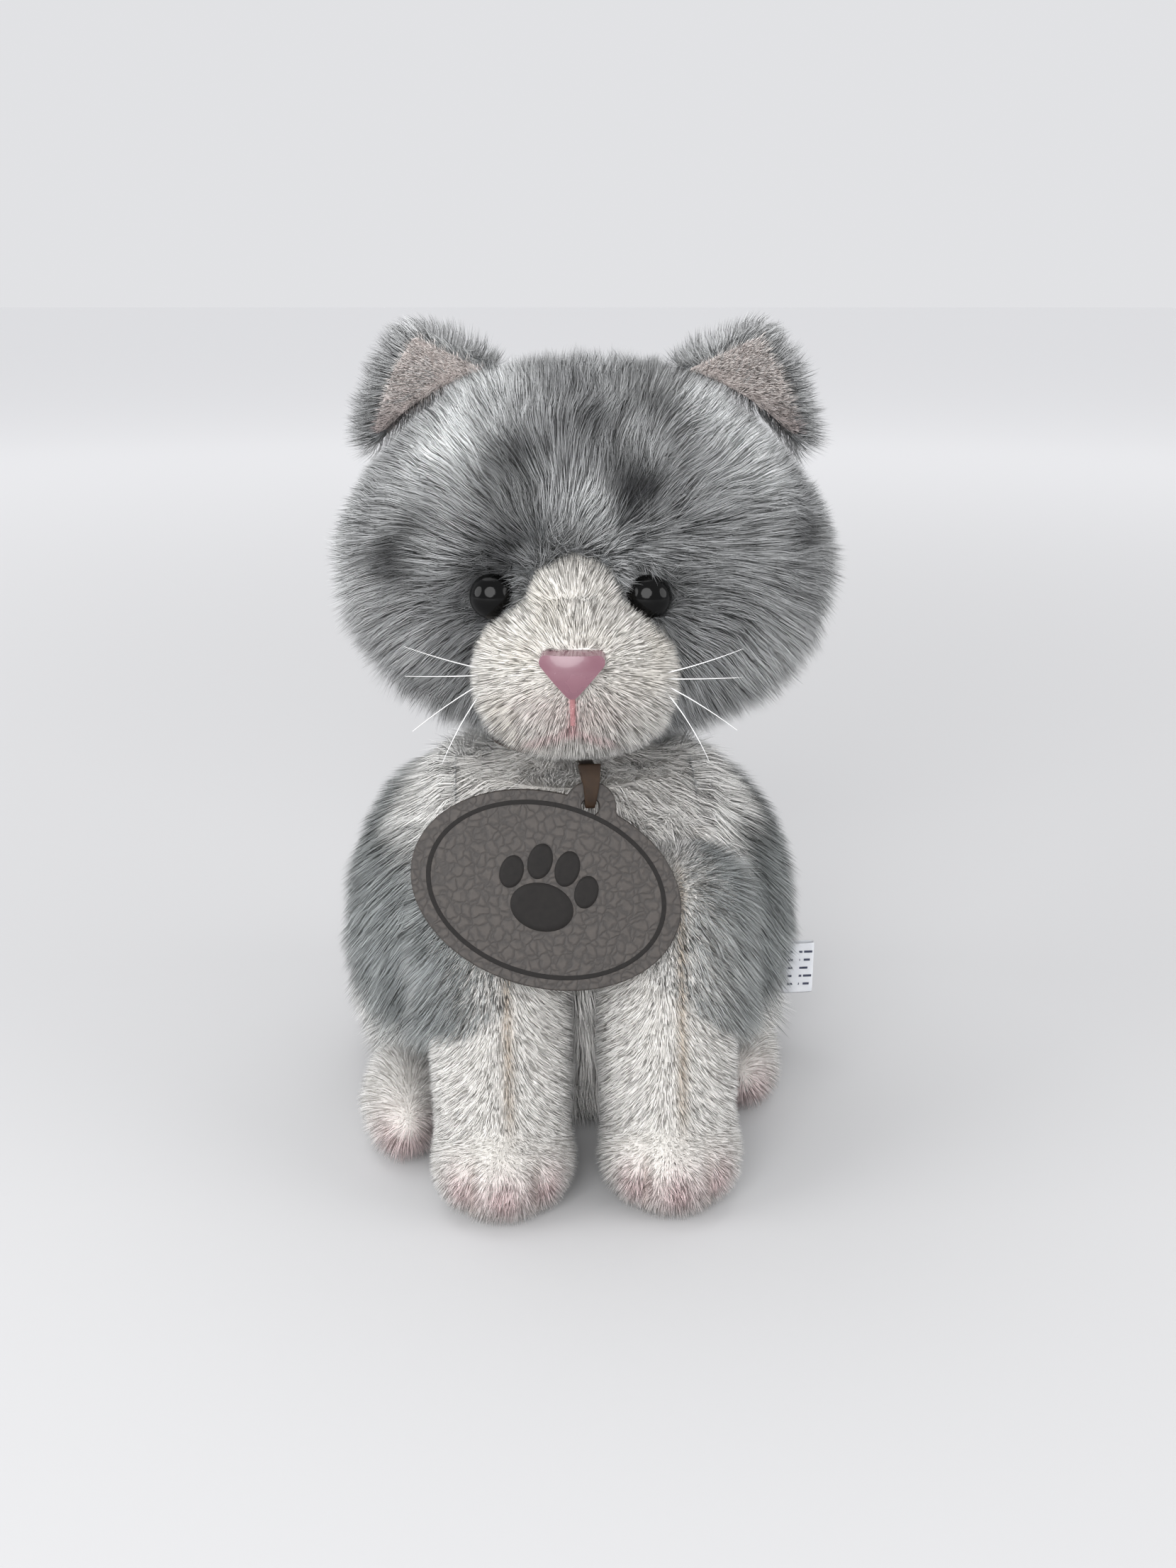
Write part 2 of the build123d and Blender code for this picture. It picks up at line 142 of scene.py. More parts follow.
class ShaderLibrary:
    """Node groups that several materials share, each built once."""

    @staticmethod
    def _group(name: str, inputs: Sequence[tuple[str, str, object]], outputs: Sequence[tuple[str, str]]):
        """An empty group with its sockets.

        Args:
            name: The group's name.
            inputs: Name, socket type and default of each input.
            outputs: Name and socket type of each output.

        Returns:
            The tree, its input node and its output node.
        """
        tree = bpy.data.node_groups.new(name, "ShaderNodeTree")
        for label, kind, default in inputs:
            socket = tree.interface.new_socket(name=label, in_out="INPUT", socket_type=kind)
            socket.default_value = default
        for label, kind in outputs:
            tree.interface.new_socket(name=label, in_out="OUTPUT", socket_type=kind)
        return tree, tree.nodes.new("NodeGroupInput"), tree.nodes.new("NodeGroupOutput")

    @staticmethod
    def _mix(tree, kind: str = "MIX"):
        """A colour mix node in a tree."""
        node = tree.nodes.new("ShaderNodeMix")
        node.data_type = "RGBA"
        node.blend_type = kind
        return node

    @classmethod
    def fibre_colour(cls):
        """Colour along a fibre: root to tip, with marks, blush and a little life of its own.

        Returns:
            The node group.
        """
        name = "fibre_colour"
        if name in bpy.data.node_groups:
            return bpy.data.node_groups[name]
        colour, value = "NodeSocketColor", "NodeSocketFloat"
        tree, given, out = cls._group(
            name,
            [
                ("Root", colour, (0.2, 0.2, 0.2, 1)), ("Tip", colour, (0.8, 0.8, 0.8, 1)),
                ("Mark root", colour, (0.03, 0.03, 0.03, 1)), ("Mark tip", colour, (0.2, 0.2, 0.2, 1)),
                ("Blush", colour, (0.7, 0.4, 0.4, 1)), ("Lock size", value, 300.0),
                ("Variation", value, 0.25),
            ],
            [("Color", colour)],
        )
        link = tree.links.new

        def attribute(label: str):
            """An attribute node for one of the pile's own values."""
            node = tree.nodes.new("ShaderNodeAttribute")
            node.attribute_name = label
            return node

        along, mark, blush = attribute("along"), attribute("mark"), attribute("blush")
        draw, root = attribute("draw"), attribute("root")
        rise = tree.nodes.new("ShaderNodeMath")
        rise.operation = "POWER"
        rise.inputs[1].default_value = 1.35
        link(along.outputs["Fac"], rise.inputs[0])
        body, marked, patched, tinted = cls._mix(tree), cls._mix(tree), cls._mix(tree), cls._mix(tree)
        for node, ends in ((body, ("Root", "Tip")), (marked, ("Mark root", "Mark tip"))):
            link(rise.outputs[0], node.inputs["Factor"])
            link(given.outputs[ends[0]], node.inputs["A"])
            link(given.outputs[ends[1]], node.inputs["B"])
        link(mark.outputs["Fac"], patched.inputs["Factor"])
        link(body.outputs["Result"], patched.inputs["A"])
        link(marked.outputs["Result"], patched.inputs["B"])
        link(blush.outputs["Fac"], tinted.inputs["Factor"])
        link(patched.outputs["Result"], tinted.inputs["A"])
        link(given.outputs["Blush"], tinted.inputs["B"])
        noise = tree.nodes.new("ShaderNodeTexNoise")
        noise.inputs["Detail"].default_value = 3.0
        link(root.outputs["Vector"], noise.inputs["Vector"])
        link(given.outputs["Lock size"], noise.inputs["Scale"])
        life = tree.nodes.new("ShaderNodeMath")
        life.operation = "MULTIPLY_ADD"
        life.inputs[1].default_value = 0.5
        link(draw.outputs["Fac"], life.inputs[0])
        link(noise.outputs["Fac"], life.inputs[2])
        spread = tree.nodes.new("ShaderNodeMath")
        spread.operation = "MULTIPLY_ADD"
        link(life.outputs[0], spread.inputs[0])
        link(given.outputs["Variation"], spread.inputs[1])
        offset = tree.nodes.new("ShaderNodeMath")
        offset.operation = "MULTIPLY_ADD"
        offset.inputs[1].default_value = -0.75
        offset.inputs[2].default_value = 1.0
        link(given.outputs["Variation"], offset.inputs[0])
        link(offset.outputs[0], spread.inputs[2])
        lit = tree.nodes.new("ShaderNodeVectorMath")
        lit.operation = "SCALE"
        link(tinted.outputs["Result"], lit.inputs[0])
        link(spread.outputs[0], lit.inputs["Scale"])
        link(lit.outputs[0], out.inputs["Color"])
        return tree

    @classmethod
    def mottle(cls):
        """Two colours mixed by noise in the object's own space.

        Returns:
            The node group.
        """
        name = "mottle"
        if name in bpy.data.node_groups:
            return bpy.data.node_groups[name]
        colour, value = "NodeSocketColor", "NodeSocketFloat"
        tree, given, out = cls._group(
            name,
            [("Low", colour, (0.2, 0.2, 0.2, 1)), ("High", colour, (0.8, 0.8, 0.8, 1)),
             ("Scale", value, 100.0), ("Detail", value, 5.0)],
            [("Color", colour), ("Value", value)],
        )
        place = tree.nodes.new("ShaderNodeTexCoord")
        noise = tree.nodes.new("ShaderNodeTexNoise")
        mix = cls._mix(tree)
        tree.links.new(place.outputs["Object"], noise.inputs["Vector"])
        tree.links.new(given.outputs["Scale"], noise.inputs["Scale"])
        tree.links.new(given.outputs["Detail"], noise.inputs["Detail"])
        tree.links.new(noise.outputs["Fac"], mix.inputs["Factor"])
        tree.links.new(given.outputs["Low"], mix.inputs["A"])
        tree.links.new(given.outputs["High"], mix.inputs["B"])
        tree.links.new(mix.outputs["Result"], out.inputs["Color"])
        tree.links.new(noise.outputs["Fac"], out.inputs["Value"])
        return tree

    @classmethod
    def weave(cls):
        """Height of crossing threads in the object's own space.

        Returns:
            The node group.
        """
        name = "weave"
        if name in bpy.data.node_groups:
            return bpy.data.node_groups[name]
        value = "NodeSocketFloat"
        tree, given, out = cls._group(name, [("Threads", value, 3000.0)], [("Height", value)])
        place = tree.nodes.new("ShaderNodeTexCoord")
        top = tree.nodes.new("ShaderNodeMath")
        top.operation = "MAXIMUM"
        for n, direction in enumerate(("X", "Z")):
            wave = tree.nodes.new("ShaderNodeTexWave")
            wave.bands_direction = direction
            wave.inputs["Distortion"].default_value = 0.6
            tree.links.new(place.outputs["Object"], wave.inputs["Vector"])
            tree.links.new(given.outputs["Threads"], wave.inputs["Scale"])
            tree.links.new(wave.outputs["Fac"], top.inputs[n])
        tree.links.new(top.outputs[0], out.inputs["Height"])
        return tree

    @classmethod
    def hide_grain(cls):
        """Pressed leather grain: cells with creased edges, in the object's own space.

        Returns:
            The node group.
        """
        name = "hide_grain"
        if name in bpy.data.node_groups:
            return bpy.data.node_groups[name]
        value = "NodeSocketFloat"
        tree, given, out = cls._group(
            name, [("Scale", value, 400.0)], [("Height", value), ("Crease", value)]
        )
        place = tree.nodes.new("ShaderNodeTexCoord")
        warp = tree.nodes.new("ShaderNodeTexNoise")
        warp.inputs["Scale"].default_value = 350.0
        bent = tree.nodes.new("ShaderNodeVectorMath")
        bent.operation = "MULTIPLY_ADD"
        bent.inputs[1].default_value = (0.003, 0.003, 0.003)
        cells = tree.nodes.new("ShaderNodeTexVoronoi")
        cells.feature = "DISTANCE_TO_EDGE"
        ramp = tree.nodes.new("ShaderNodeMapRange")
        ramp.inputs["From Max"].default_value = 0.22
        tree.links.new(place.outputs["Object"], warp.inputs["Vector"])
        tree.links.new(warp.outputs["Color"], bent.inputs[0])
        tree.links.new(place.outputs["Object"], bent.inputs[2])
        tree.links.new(bent.outputs[0], cells.inputs["Vector"])
        tree.links.new(given.outputs["Scale"], cells.inputs["Scale"])
        tree.links.new(cells.outputs["Distance"], ramp.inputs["Value"])
        tree.links.new(ramp.outputs[0], out.inputs["Height"])
        flip = tree.nodes.new("ShaderNodeMath")
        flip.operation = "SUBTRACT"
        flip.inputs[0].default_value = 1.0
        tree.links.new(ramp.outputs[0], flip.inputs[1])
        tree.links.new(flip.outputs[0], out.inputs["Crease"])
        return tree


def new_material(name: str):
    """A node material with its Principled shader.

    Args:
        name: The material's name.

    Returns:
        The material, its node tree and its Principled node.
    """
    material = bpy.data.materials.new(name)
    material.use_nodes = True
    tree = material.node_tree
    return material, tree, tree.nodes["Principled BSDF"]


def place_group(tree, group, **values):
    """A group node in a material, with its values set.

    Args:
        tree: The material's node tree.
        group: The node group to place.
        values: Input values, with underscores for the spaces in a socket's name.

    Returns:
        The group node.
    """
    node = tree.nodes.new("ShaderNodeGroup")
    node.node_tree = group
    for label, value in values.items():
        node.inputs[label.replace("_", " ")].default_value = value
    return node


def opaque(colour: Colour) -> tuple[float, float, float, float]:
    """A colour with full alpha."""
    return (*colour, 1.0)


@dataclass(frozen=True)
class FibreFinish:
    """Pile fibre: root and tip colours, marks, blush and sheen."""

    name: str
    root: Colour
    tip: Colour
    mark_root: Colour = (0.03, 0.032, 0.036)
    mark_tip: Colour = (0.17, 0.18, 0.19)
    blush: Colour = (0.62, 0.34, 0.36)
    lock_scale: float = 260.0
    variation: float = 0.3
    roughness: float = 0.72
    sheen: float = 0.25

    def material(self):
        """The fibre material, built once."""
        name = f"{self.name}_finish"
        if name in bpy.data.materials:
            return bpy.data.materials[name]
        material, tree, shader = new_material(name)
        group = place_group(
            tree, ShaderLibrary.fibre_colour(), Root=opaque(self.root), Tip=opaque(self.tip),
            Mark_root=opaque(self.mark_root), Mark_tip=opaque(self.mark_tip), Blush=opaque(self.blush),
            Lock_size=self.lock_scale, Variation=self.variation,
        )
        tree.links.new(group.outputs["Color"], shader.inputs["Base Color"])
        shader.inputs["Roughness"].default_value = self.roughness
        shader.inputs["Sheen Weight"].default_value = self.sheen
        shader.inputs["Sheen Roughness"].default_value = 0.45
        shader.inputs["Specular IOR Level"].default_value = 0.25
        return material


@dataclass(frozen=True)
class ClothFinish:
    """Knitted backing, thread or filling: mottled colour over a woven height."""

    name: str
    low: Colour
    high: Colour
    mottle_scale: float = 160.0
    threads: float = 1400.0
    bump_distance: float = 0.15 * MM
    roughness: float = 0.9
    sheen: float = 0.2

    def material(self):
        """The cloth material, built once."""
        name = f"{self.name}_finish"
        if name in bpy.data.materials:
            return bpy.data.materials[name]
        material, tree, shader = new_material(name)
        group = place_group(
            tree, ShaderLibrary.mottle(), Low=opaque(self.low), High=opaque(self.high),
            Scale=self.mottle_scale
        )
        tree.links.new(group.outputs["Color"], shader.inputs["Base Color"])
        threads = place_group(tree, ShaderLibrary.weave(), Threads=self.threads)
        relief = tree.nodes.new("ShaderNodeBump")
        relief.inputs["Distance"].default_value = self.bump_distance
        relief.inputs["Strength"].default_value = 0.6
        tree.links.new(threads.outputs["Height"], relief.inputs["Height"])
        tree.links.new(relief.outputs["Normal"], shader.inputs["Normal"])
        shader.inputs["Roughness"].default_value = self.roughness
        shader.inputs["Sheen Weight"].default_value = self.sheen
        shader.inputs["Specular IOR Level"].default_value = 0.2
        return material


@dataclass(frozen=True)
class PlasticFinish:
    """Moulded plastic: faint mottling, uneven polish and a clear coat."""

    name: str
    low: Colour
    high: Colour
    scale: float = 220.0
    roughness: tuple[float, float] = (0.12, 0.22)
    coat: float = 0.0
    bump_distance: float = 0.02 * MM
    specular: float = 0.5

    def material(self):
        """The plastic material, built once."""
        name = f"{self.name}_finish"
        if name in bpy.data.materials:
            return bpy.data.materials[name]
        material, tree, shader = new_material(name)
        group = place_group(
            tree, ShaderLibrary.mottle(), Low=opaque(self.low), High=opaque(self.high), Scale=self.scale
        )
        tree.links.new(group.outputs["Color"], shader.inputs["Base Color"])
        polish = tree.nodes.new("ShaderNodeMapRange")
        polish.inputs["To Min"].default_value, polish.inputs["To Max"].default_value = self.roughness
        tree.links.new(group.outputs["Value"], polish.inputs["Value"])
        tree.links.new(polish.outputs[0], shader.inputs["Roughness"])
        relief = tree.nodes.new("ShaderNodeBump")
        relief.inputs["Distance"].default_value = self.bump_distance
        relief.inputs["Strength"].default_value = 0.3
        tree.links.new(group.outputs["Value"], relief.inputs["Height"])
        tree.links.new(relief.outputs["Normal"], shader.inputs["Normal"])
        shader.inputs["Specular IOR Level"].default_value = self.specular
        shader.inputs["Coat Weight"].default_value = self.coat
        shader.inputs["Coat Roughness"].default_value = 0.03
        return material


@dataclass(frozen=True)
class HideFinish:
    """Pressed leather-look card: mottled brown with dark creases."""

    name: str
    low: Colour
    high: Colour
    crease: Colour
    scale: float = 420.0
    roughness: float = 0.62

    def material(self):
        """The card material, built once."""
        name = f"{self.name}_finish"
        if name in bpy.data.materials:
            return bpy.data.materials[name]
        material, tree, shader = new_material(name)
        body = place_group(
            tree, ShaderLibrary.mottle(), Low=opaque(self.low), High=opaque(self.high), Scale=900.0,
            Detail=8.0
        )
        grain = place_group(tree, ShaderLibrary.hide_grain(), Scale=self.scale)
        mix = tree.nodes.new("ShaderNodeMix")
        mix.data_type = "RGBA"
        share = tree.nodes.new("ShaderNodeMath")
        share.operation = "MULTIPLY"
        share.inputs[1].default_value = 0.55
        tree.links.new(grain.outputs["Crease"], share.inputs[0])
        tree.links.new(share.outputs[0], mix.inputs["Factor"])
        tree.links.new(body.outputs["Color"], mix.inputs["A"])
        mix.inputs["B"].default_value = opaque(self.crease)
        tree.links.new(mix.outputs["Result"], shader.inputs["Base Color"])
        relief = tree.nodes.new("ShaderNodeBump")
        relief.inputs["Distance"].default_value = 0.12 * MM
        relief.inputs["Strength"].default_value = 0.7
        tree.links.new(grain.outputs["Height"], relief.inputs["Height"])
        tree.links.new(relief.outputs["Normal"], shader.inputs["Normal"])
        shader.inputs["Roughness"].default_value = self.roughness
        return material


GREY_FIBRE = FibreFinish(
    "grey_fibre", (0.19, 0.192, 0.197), (0.37, 0.377, 0.382), mark_root=(0.012, 0.012, 0.014),
    mark_tip=(0.040, 0.041, 0.044), blush=(0.80, 0.815, 0.815), variation=0.36,
)
FLANK_FIBRE = FibreFinish(
    "flank_grey_fibre", (0.18, 0.192, 0.195), (0.42, 0.445, 0.445), mark_root=(0.05, 0.054, 0.055),
    mark_tip=(0.13, 0.14, 0.14), blush=(0.94, 0.93, 0.905), variation=0.28,
)
# Its mark colours serve the foreleg's seam line and the painted shade in the notches between the toes.
WHITE_FIBRE = FibreFinish(
    "white_fibre", (0.90, 0.875, 0.84), (0.97, 0.955, 0.93), mark_root=(0.56, 0.46, 0.36),
    mark_tip=(0.66, 0.56, 0.46), blush=(0.80, 0.50, 0.52), variation=0.10,
)
MUZZLE_FIBRE = FibreFinish(
    "muzzle_fibre", (0.88, 0.845, 0.79), (0.96, 0.94, 0.90), mark_root=(0.72, 0.64, 0.52),
    mark_tip=(0.82, 0.76, 0.66), blush=(0.78, 0.44, 0.46), variation=0.12, lock_scale=700.0,
)
# Its mark colours are painted shade, for the lining's lower part near the head.
LINING_FIBRE = FibreFinish(
    "ear_lining_fibre", (0.66, 0.60, 0.575), (0.88, 0.84, 0.81), mark_root=(0.15, 0.12, 0.125),
    mark_tip=(0.28, 0.23, 0.23), variation=0.16, lock_scale=600.0,
)
# Backing colours sit below their fibres' roots: the knit's own colour, darkened further as painted shade deep in
# the pile.
GREY_BACKING = ClothFinish("grey_backing", (0.10, 0.105, 0.11), (0.17, 0.18, 0.185))
WHITE_BACKING = ClothFinish("white_backing", (0.74, 0.72, 0.685), (0.82, 0.80, 0.77))
LINING_BACKING = ClothFinish("lining_backing", (0.46, 0.40, 0.385), (0.58, 0.52, 0.50))
POLYESTER_FILL = ClothFinish("polyester_fill", (0.80, 0.80, 0.79), (0.93, 0.93, 0.92), 90.0, 700.0, 0.5 * MM)
POUCH_CLOTH = ClothFinish("pouch_cloth", (0.72, 0.70, 0.66), (0.80, 0.78, 0.74), 200.0, 2500.0)
THREAD_WHITE = ClothFinish("white_thread", (0.75, 0.74, 0.71), (0.86, 0.85, 0.82), 800.0, 5000.0, 0.05 * MM)
THREAD_PINK = ClothFinish("pink_thread", (0.30, 0.13, 0.14), (0.42, 0.20, 0.205), 800.0, 5000.0, 0.05 * MM)
RIBBON_SATIN = ClothFinish(
    "brown_ribbon", (0.006, 0.0035, 0.003), (0.045, 0.024, 0.011), 420.0, 3600.0, 0.06 * MM, 0.36, 0.0
)
LABEL_SATIN = ClothFinish(
    "label_satin", (0.52, 0.54, 0.58), (0.74, 0.75, 0.77), 350.0, 5200.0, 0.04 * MM, 0.4, 0.3
)
LABEL_INK = ClothFinish(
    "label_ink", (0.03, 0.035, 0.06), (0.07, 0.075, 0.11), 900.0, 5200.0, 0.02 * MM, 0.6, 0.0
)
EYE_PLASTIC = PlasticFinish(
    "eye_plastic", (0.0005, 0.0005, 0.0005), (0.0015, 0.0015, 0.0015), 300.0, (0.06, 0.12), 0.0,
    0.004 * MM, 0.16
)
NOSE_PLASTIC = PlasticFinish(
    "nose_plastic", (0.135, 0.058, 0.078), (0.19, 0.088, 0.112), 260.0, (0.20, 0.34), 0.2
)
WASHER_PLASTIC = PlasticFinish("washer_plastic", (0.74, 0.74, 0.72), (0.84, 0.84, 0.82), 240.0, (0.4, 0.55))
PELLET_PLASTIC = PlasticFinish("pellet_plastic", (0.78, 0.78, 0.75), (0.90, 0.90, 0.88), 420.0, (0.3, 0.5))
WHISKER_NYLON = PlasticFinish("whisker_nylon", (0.80, 0.80, 0.80), (0.95, 0.95, 0.95), 500.0, (0.25, 0.4))
TAG_CARD = HideFinish(
    "embossed_card", (0.020, 0.016, 0.014), (0.052, 0.043, 0.037), (0.005, 0.004, 0.004), 520.0
)
# Darker colour laid on the tag's ring and paw.
TAG_DARK_LINES = ClothFinish(
    "tag_ink", (0.004, 0.0035, 0.0035), (0.012, 0.010, 0.009), 900.0, 3000.0, 0.03 * MM, 0.55, 0.0
)


# ---- meshes --------------------------------------------------------------------------------------


@dataclass
class Surface:
    """A triangle surface with a normal at each vertex, as arrays in metres."""

    points: np.ndarray
    normals: np.ndarray
    triangles: np.ndarray

    @classmethod
    def of_object(cls, piece) -> "Surface":
        """The surface of an object's evaluated mesh.

        Args:
            piece: A mesh object whose modifiers are to be included.

        Returns:
            Its points, vertex normals and triangles.
        """
        evaluated = piece.evaluated_get(bpy.context.evaluated_depsgraph_get())
        mesh = evaluated.to_mesh()
        mesh.calc_loop_triangles()
        points = np.empty(len(mesh.vertices) * 3)
        normals = np.empty(len(mesh.vertices) * 3, np.float32)
        triangles = np.empty(len(mesh.loop_triangles) * 3, np.int32)
        mesh.vertices.foreach_get("co", points)
        mesh.vertex_normals.foreach_get("vector", normals)
        mesh.loop_triangles.foreach_get("vertices", triangles)
        evaluated.to_mesh_clear()
        normals = unit(normals.astype(float).reshape(-1, 3))
        return cls(points.reshape(-1, 3), normals, triangles.reshape(-1, 3))

    def areas(self) -> np.ndarray:
        """The area of each triangle."""
        a, b, c = (self.points[self.triangles[:, n]] for n in range(3))
        return np.linalg.norm(np.cross(b - a, c - a), axis=1) / 2

    def sample(self, density: float, seed: int, keep: np.ndarray) -> tuple[np.ndarray, np.ndarray]:
        """Evenly scattered places on the surface.

        Args:
            density: Places per square metre.
            seed: Chooses the scatter.
            keep: Mask of the triangles that take part.

        Returns:
            The places and the surface's normals there.
        """
        draw = np.random.default_rng(seed)
        areas = self.areas() * keep
        count = int(areas.sum() * density)
        ends = np.cumsum(areas)
        chosen = np.searchsorted(ends, (np.arange(count) + draw.random(count)) / count * ends[-1])
        chosen = np.minimum(chosen, len(areas) - 1)
        u, v = draw.random(count), draw.random(count)
        flip = u + v > 1
        u[flip], v[flip] = 1 - u[flip], 1 - v[flip]
        weights = np.stack((1 - u - v, u, v), axis=1)[:, :, None]
        corners = self.triangles[chosen]
        blended = unit((self.normals[corners] * weights).sum(axis=1))
        return (self.points[corners] * weights).sum(axis=1), blended


def from_bmesh(name: str, build: bmesh.types.BMesh, smooth: bool = True):
    """A mesh object from a bmesh, which is freed."""
    mesh = bpy.data.meshes.new(name)
    bmesh.ops.recalc_face_normals(build, faces=build.faces)
    build.to_mesh(mesh)
    build.free()
    if smooth:
        mesh.polygons.foreach_set("use_smooth", np.ones(len(mesh.polygons), bool))
    piece = bpy.data.objects.new(name, mesh)
    bpy.context.scene.collection.objects.link(piece)
    return piece


def copy_of_node(node: str, name: str, voxel: float = 0.0):
    """A free copy of a CAD node's mesh.

    Args:
        node: The CAD node to copy.
        name: The new piece's name.
        voxel: Voxel size of an even remesh, in metres, or 0 for none.

    Returns:
        The new object, with its modifiers applied.
    """
    piece = bpy.data.objects.new(name, frame["nodes"][node].data.copy())
    piece.data.materials.clear()
    bpy.context.scene.collection.objects.link(piece)
    weld = piece.modifiers.new("weld", "WELD")
    weld.merge_threshold = 0.01 * MM
    if voxel:
        remesh = piece.modifiers.new("even", "REMESH")
        remesh.mode = "VOXEL"
        remesh.voxel_size = voxel
        remesh.use_smooth_shade = True
    settle(piece)
    return piece


def settle(piece) -> None:
    """Apply every modifier of a piece to its mesh."""
    evaluated = piece.evaluated_get(bpy.context.evaluated_depsgraph_get())
    mesh = bpy.data.meshes.new_from_object(evaluated)
    mesh.name = piece.name
    piece.modifiers.clear()
    old = piece.data
    piece.data = mesh
    if old.users == 0:
        bpy.data.meshes.remove(old)


def vertex_array(piece) -> np.ndarray:
    """The piece's vertices, one a row."""
    co = np.empty(len(piece.data.vertices) * 3)
    piece.data.vertices.foreach_get("co", co)
    return co.reshape(-1, 3)


def set_vertices(piece, points: np.ndarray) -> None:
    """Move the piece's vertices."""
    piece.data.vertices.foreach_set("co", np.ascontiguousarray(points, float).ravel())
    piece.data.update()


def vertex_normals(piece) -> np.ndarray:
    """The piece's vertex normals, one a row."""
    normals = np.empty(len(piece.data.vertices) * 3, np.float32)
    piece.data.vertex_normals.foreach_get("vector", normals)
    return unit(normals.astype(float).reshape(-1, 3))


def dress(piece, material, body: str):
    """Give a piece its material and the body it moves with.

    Args:
        piece: The finished piece.
        material: Its material.
        body: The CAD body it rides on.

    Returns:
        The piece.
    """
    piece.data.materials.clear()
    piece.data.materials.append(material)
    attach(piece, body)
    return piece


# ---- pile ----------------------------------------------------------------------------------------


@dataclass
class Comb:
    """How a pile lies: lengths, lean and locks, as functions of place.

    Fields give one row or value for each point, in the frame's own metres.
    """

    flow: Field                       # direction in which the fibres are combed
    length: float                     # a fibre's length, m
    density: float                    # fibres per square metre
    lean: float = 0.62                # 0 stands up, 1 lies along the flow
    droop: float = 0.10               # how far the tip sinks with gravity, as a share of the length
    width: float = 0.11 * MM
    steps: int = 2
    lock: float = 2.0 * MM            # distance between locks
    gather: float = 0.26              # how far the tips draw together
    swirl: float = 0.42               # how far locks wander from the flow
    ragged: float = 0.50              # spread of the lengths
    length_share: Field | None = None
    # darker marks: tabby and smoky marks, and painted shade on the ear lining and between the toes
    mark: Field | None = None
    blush: Field | None = None
    limit: Field | None = None        # keeps the points where this field is above 0


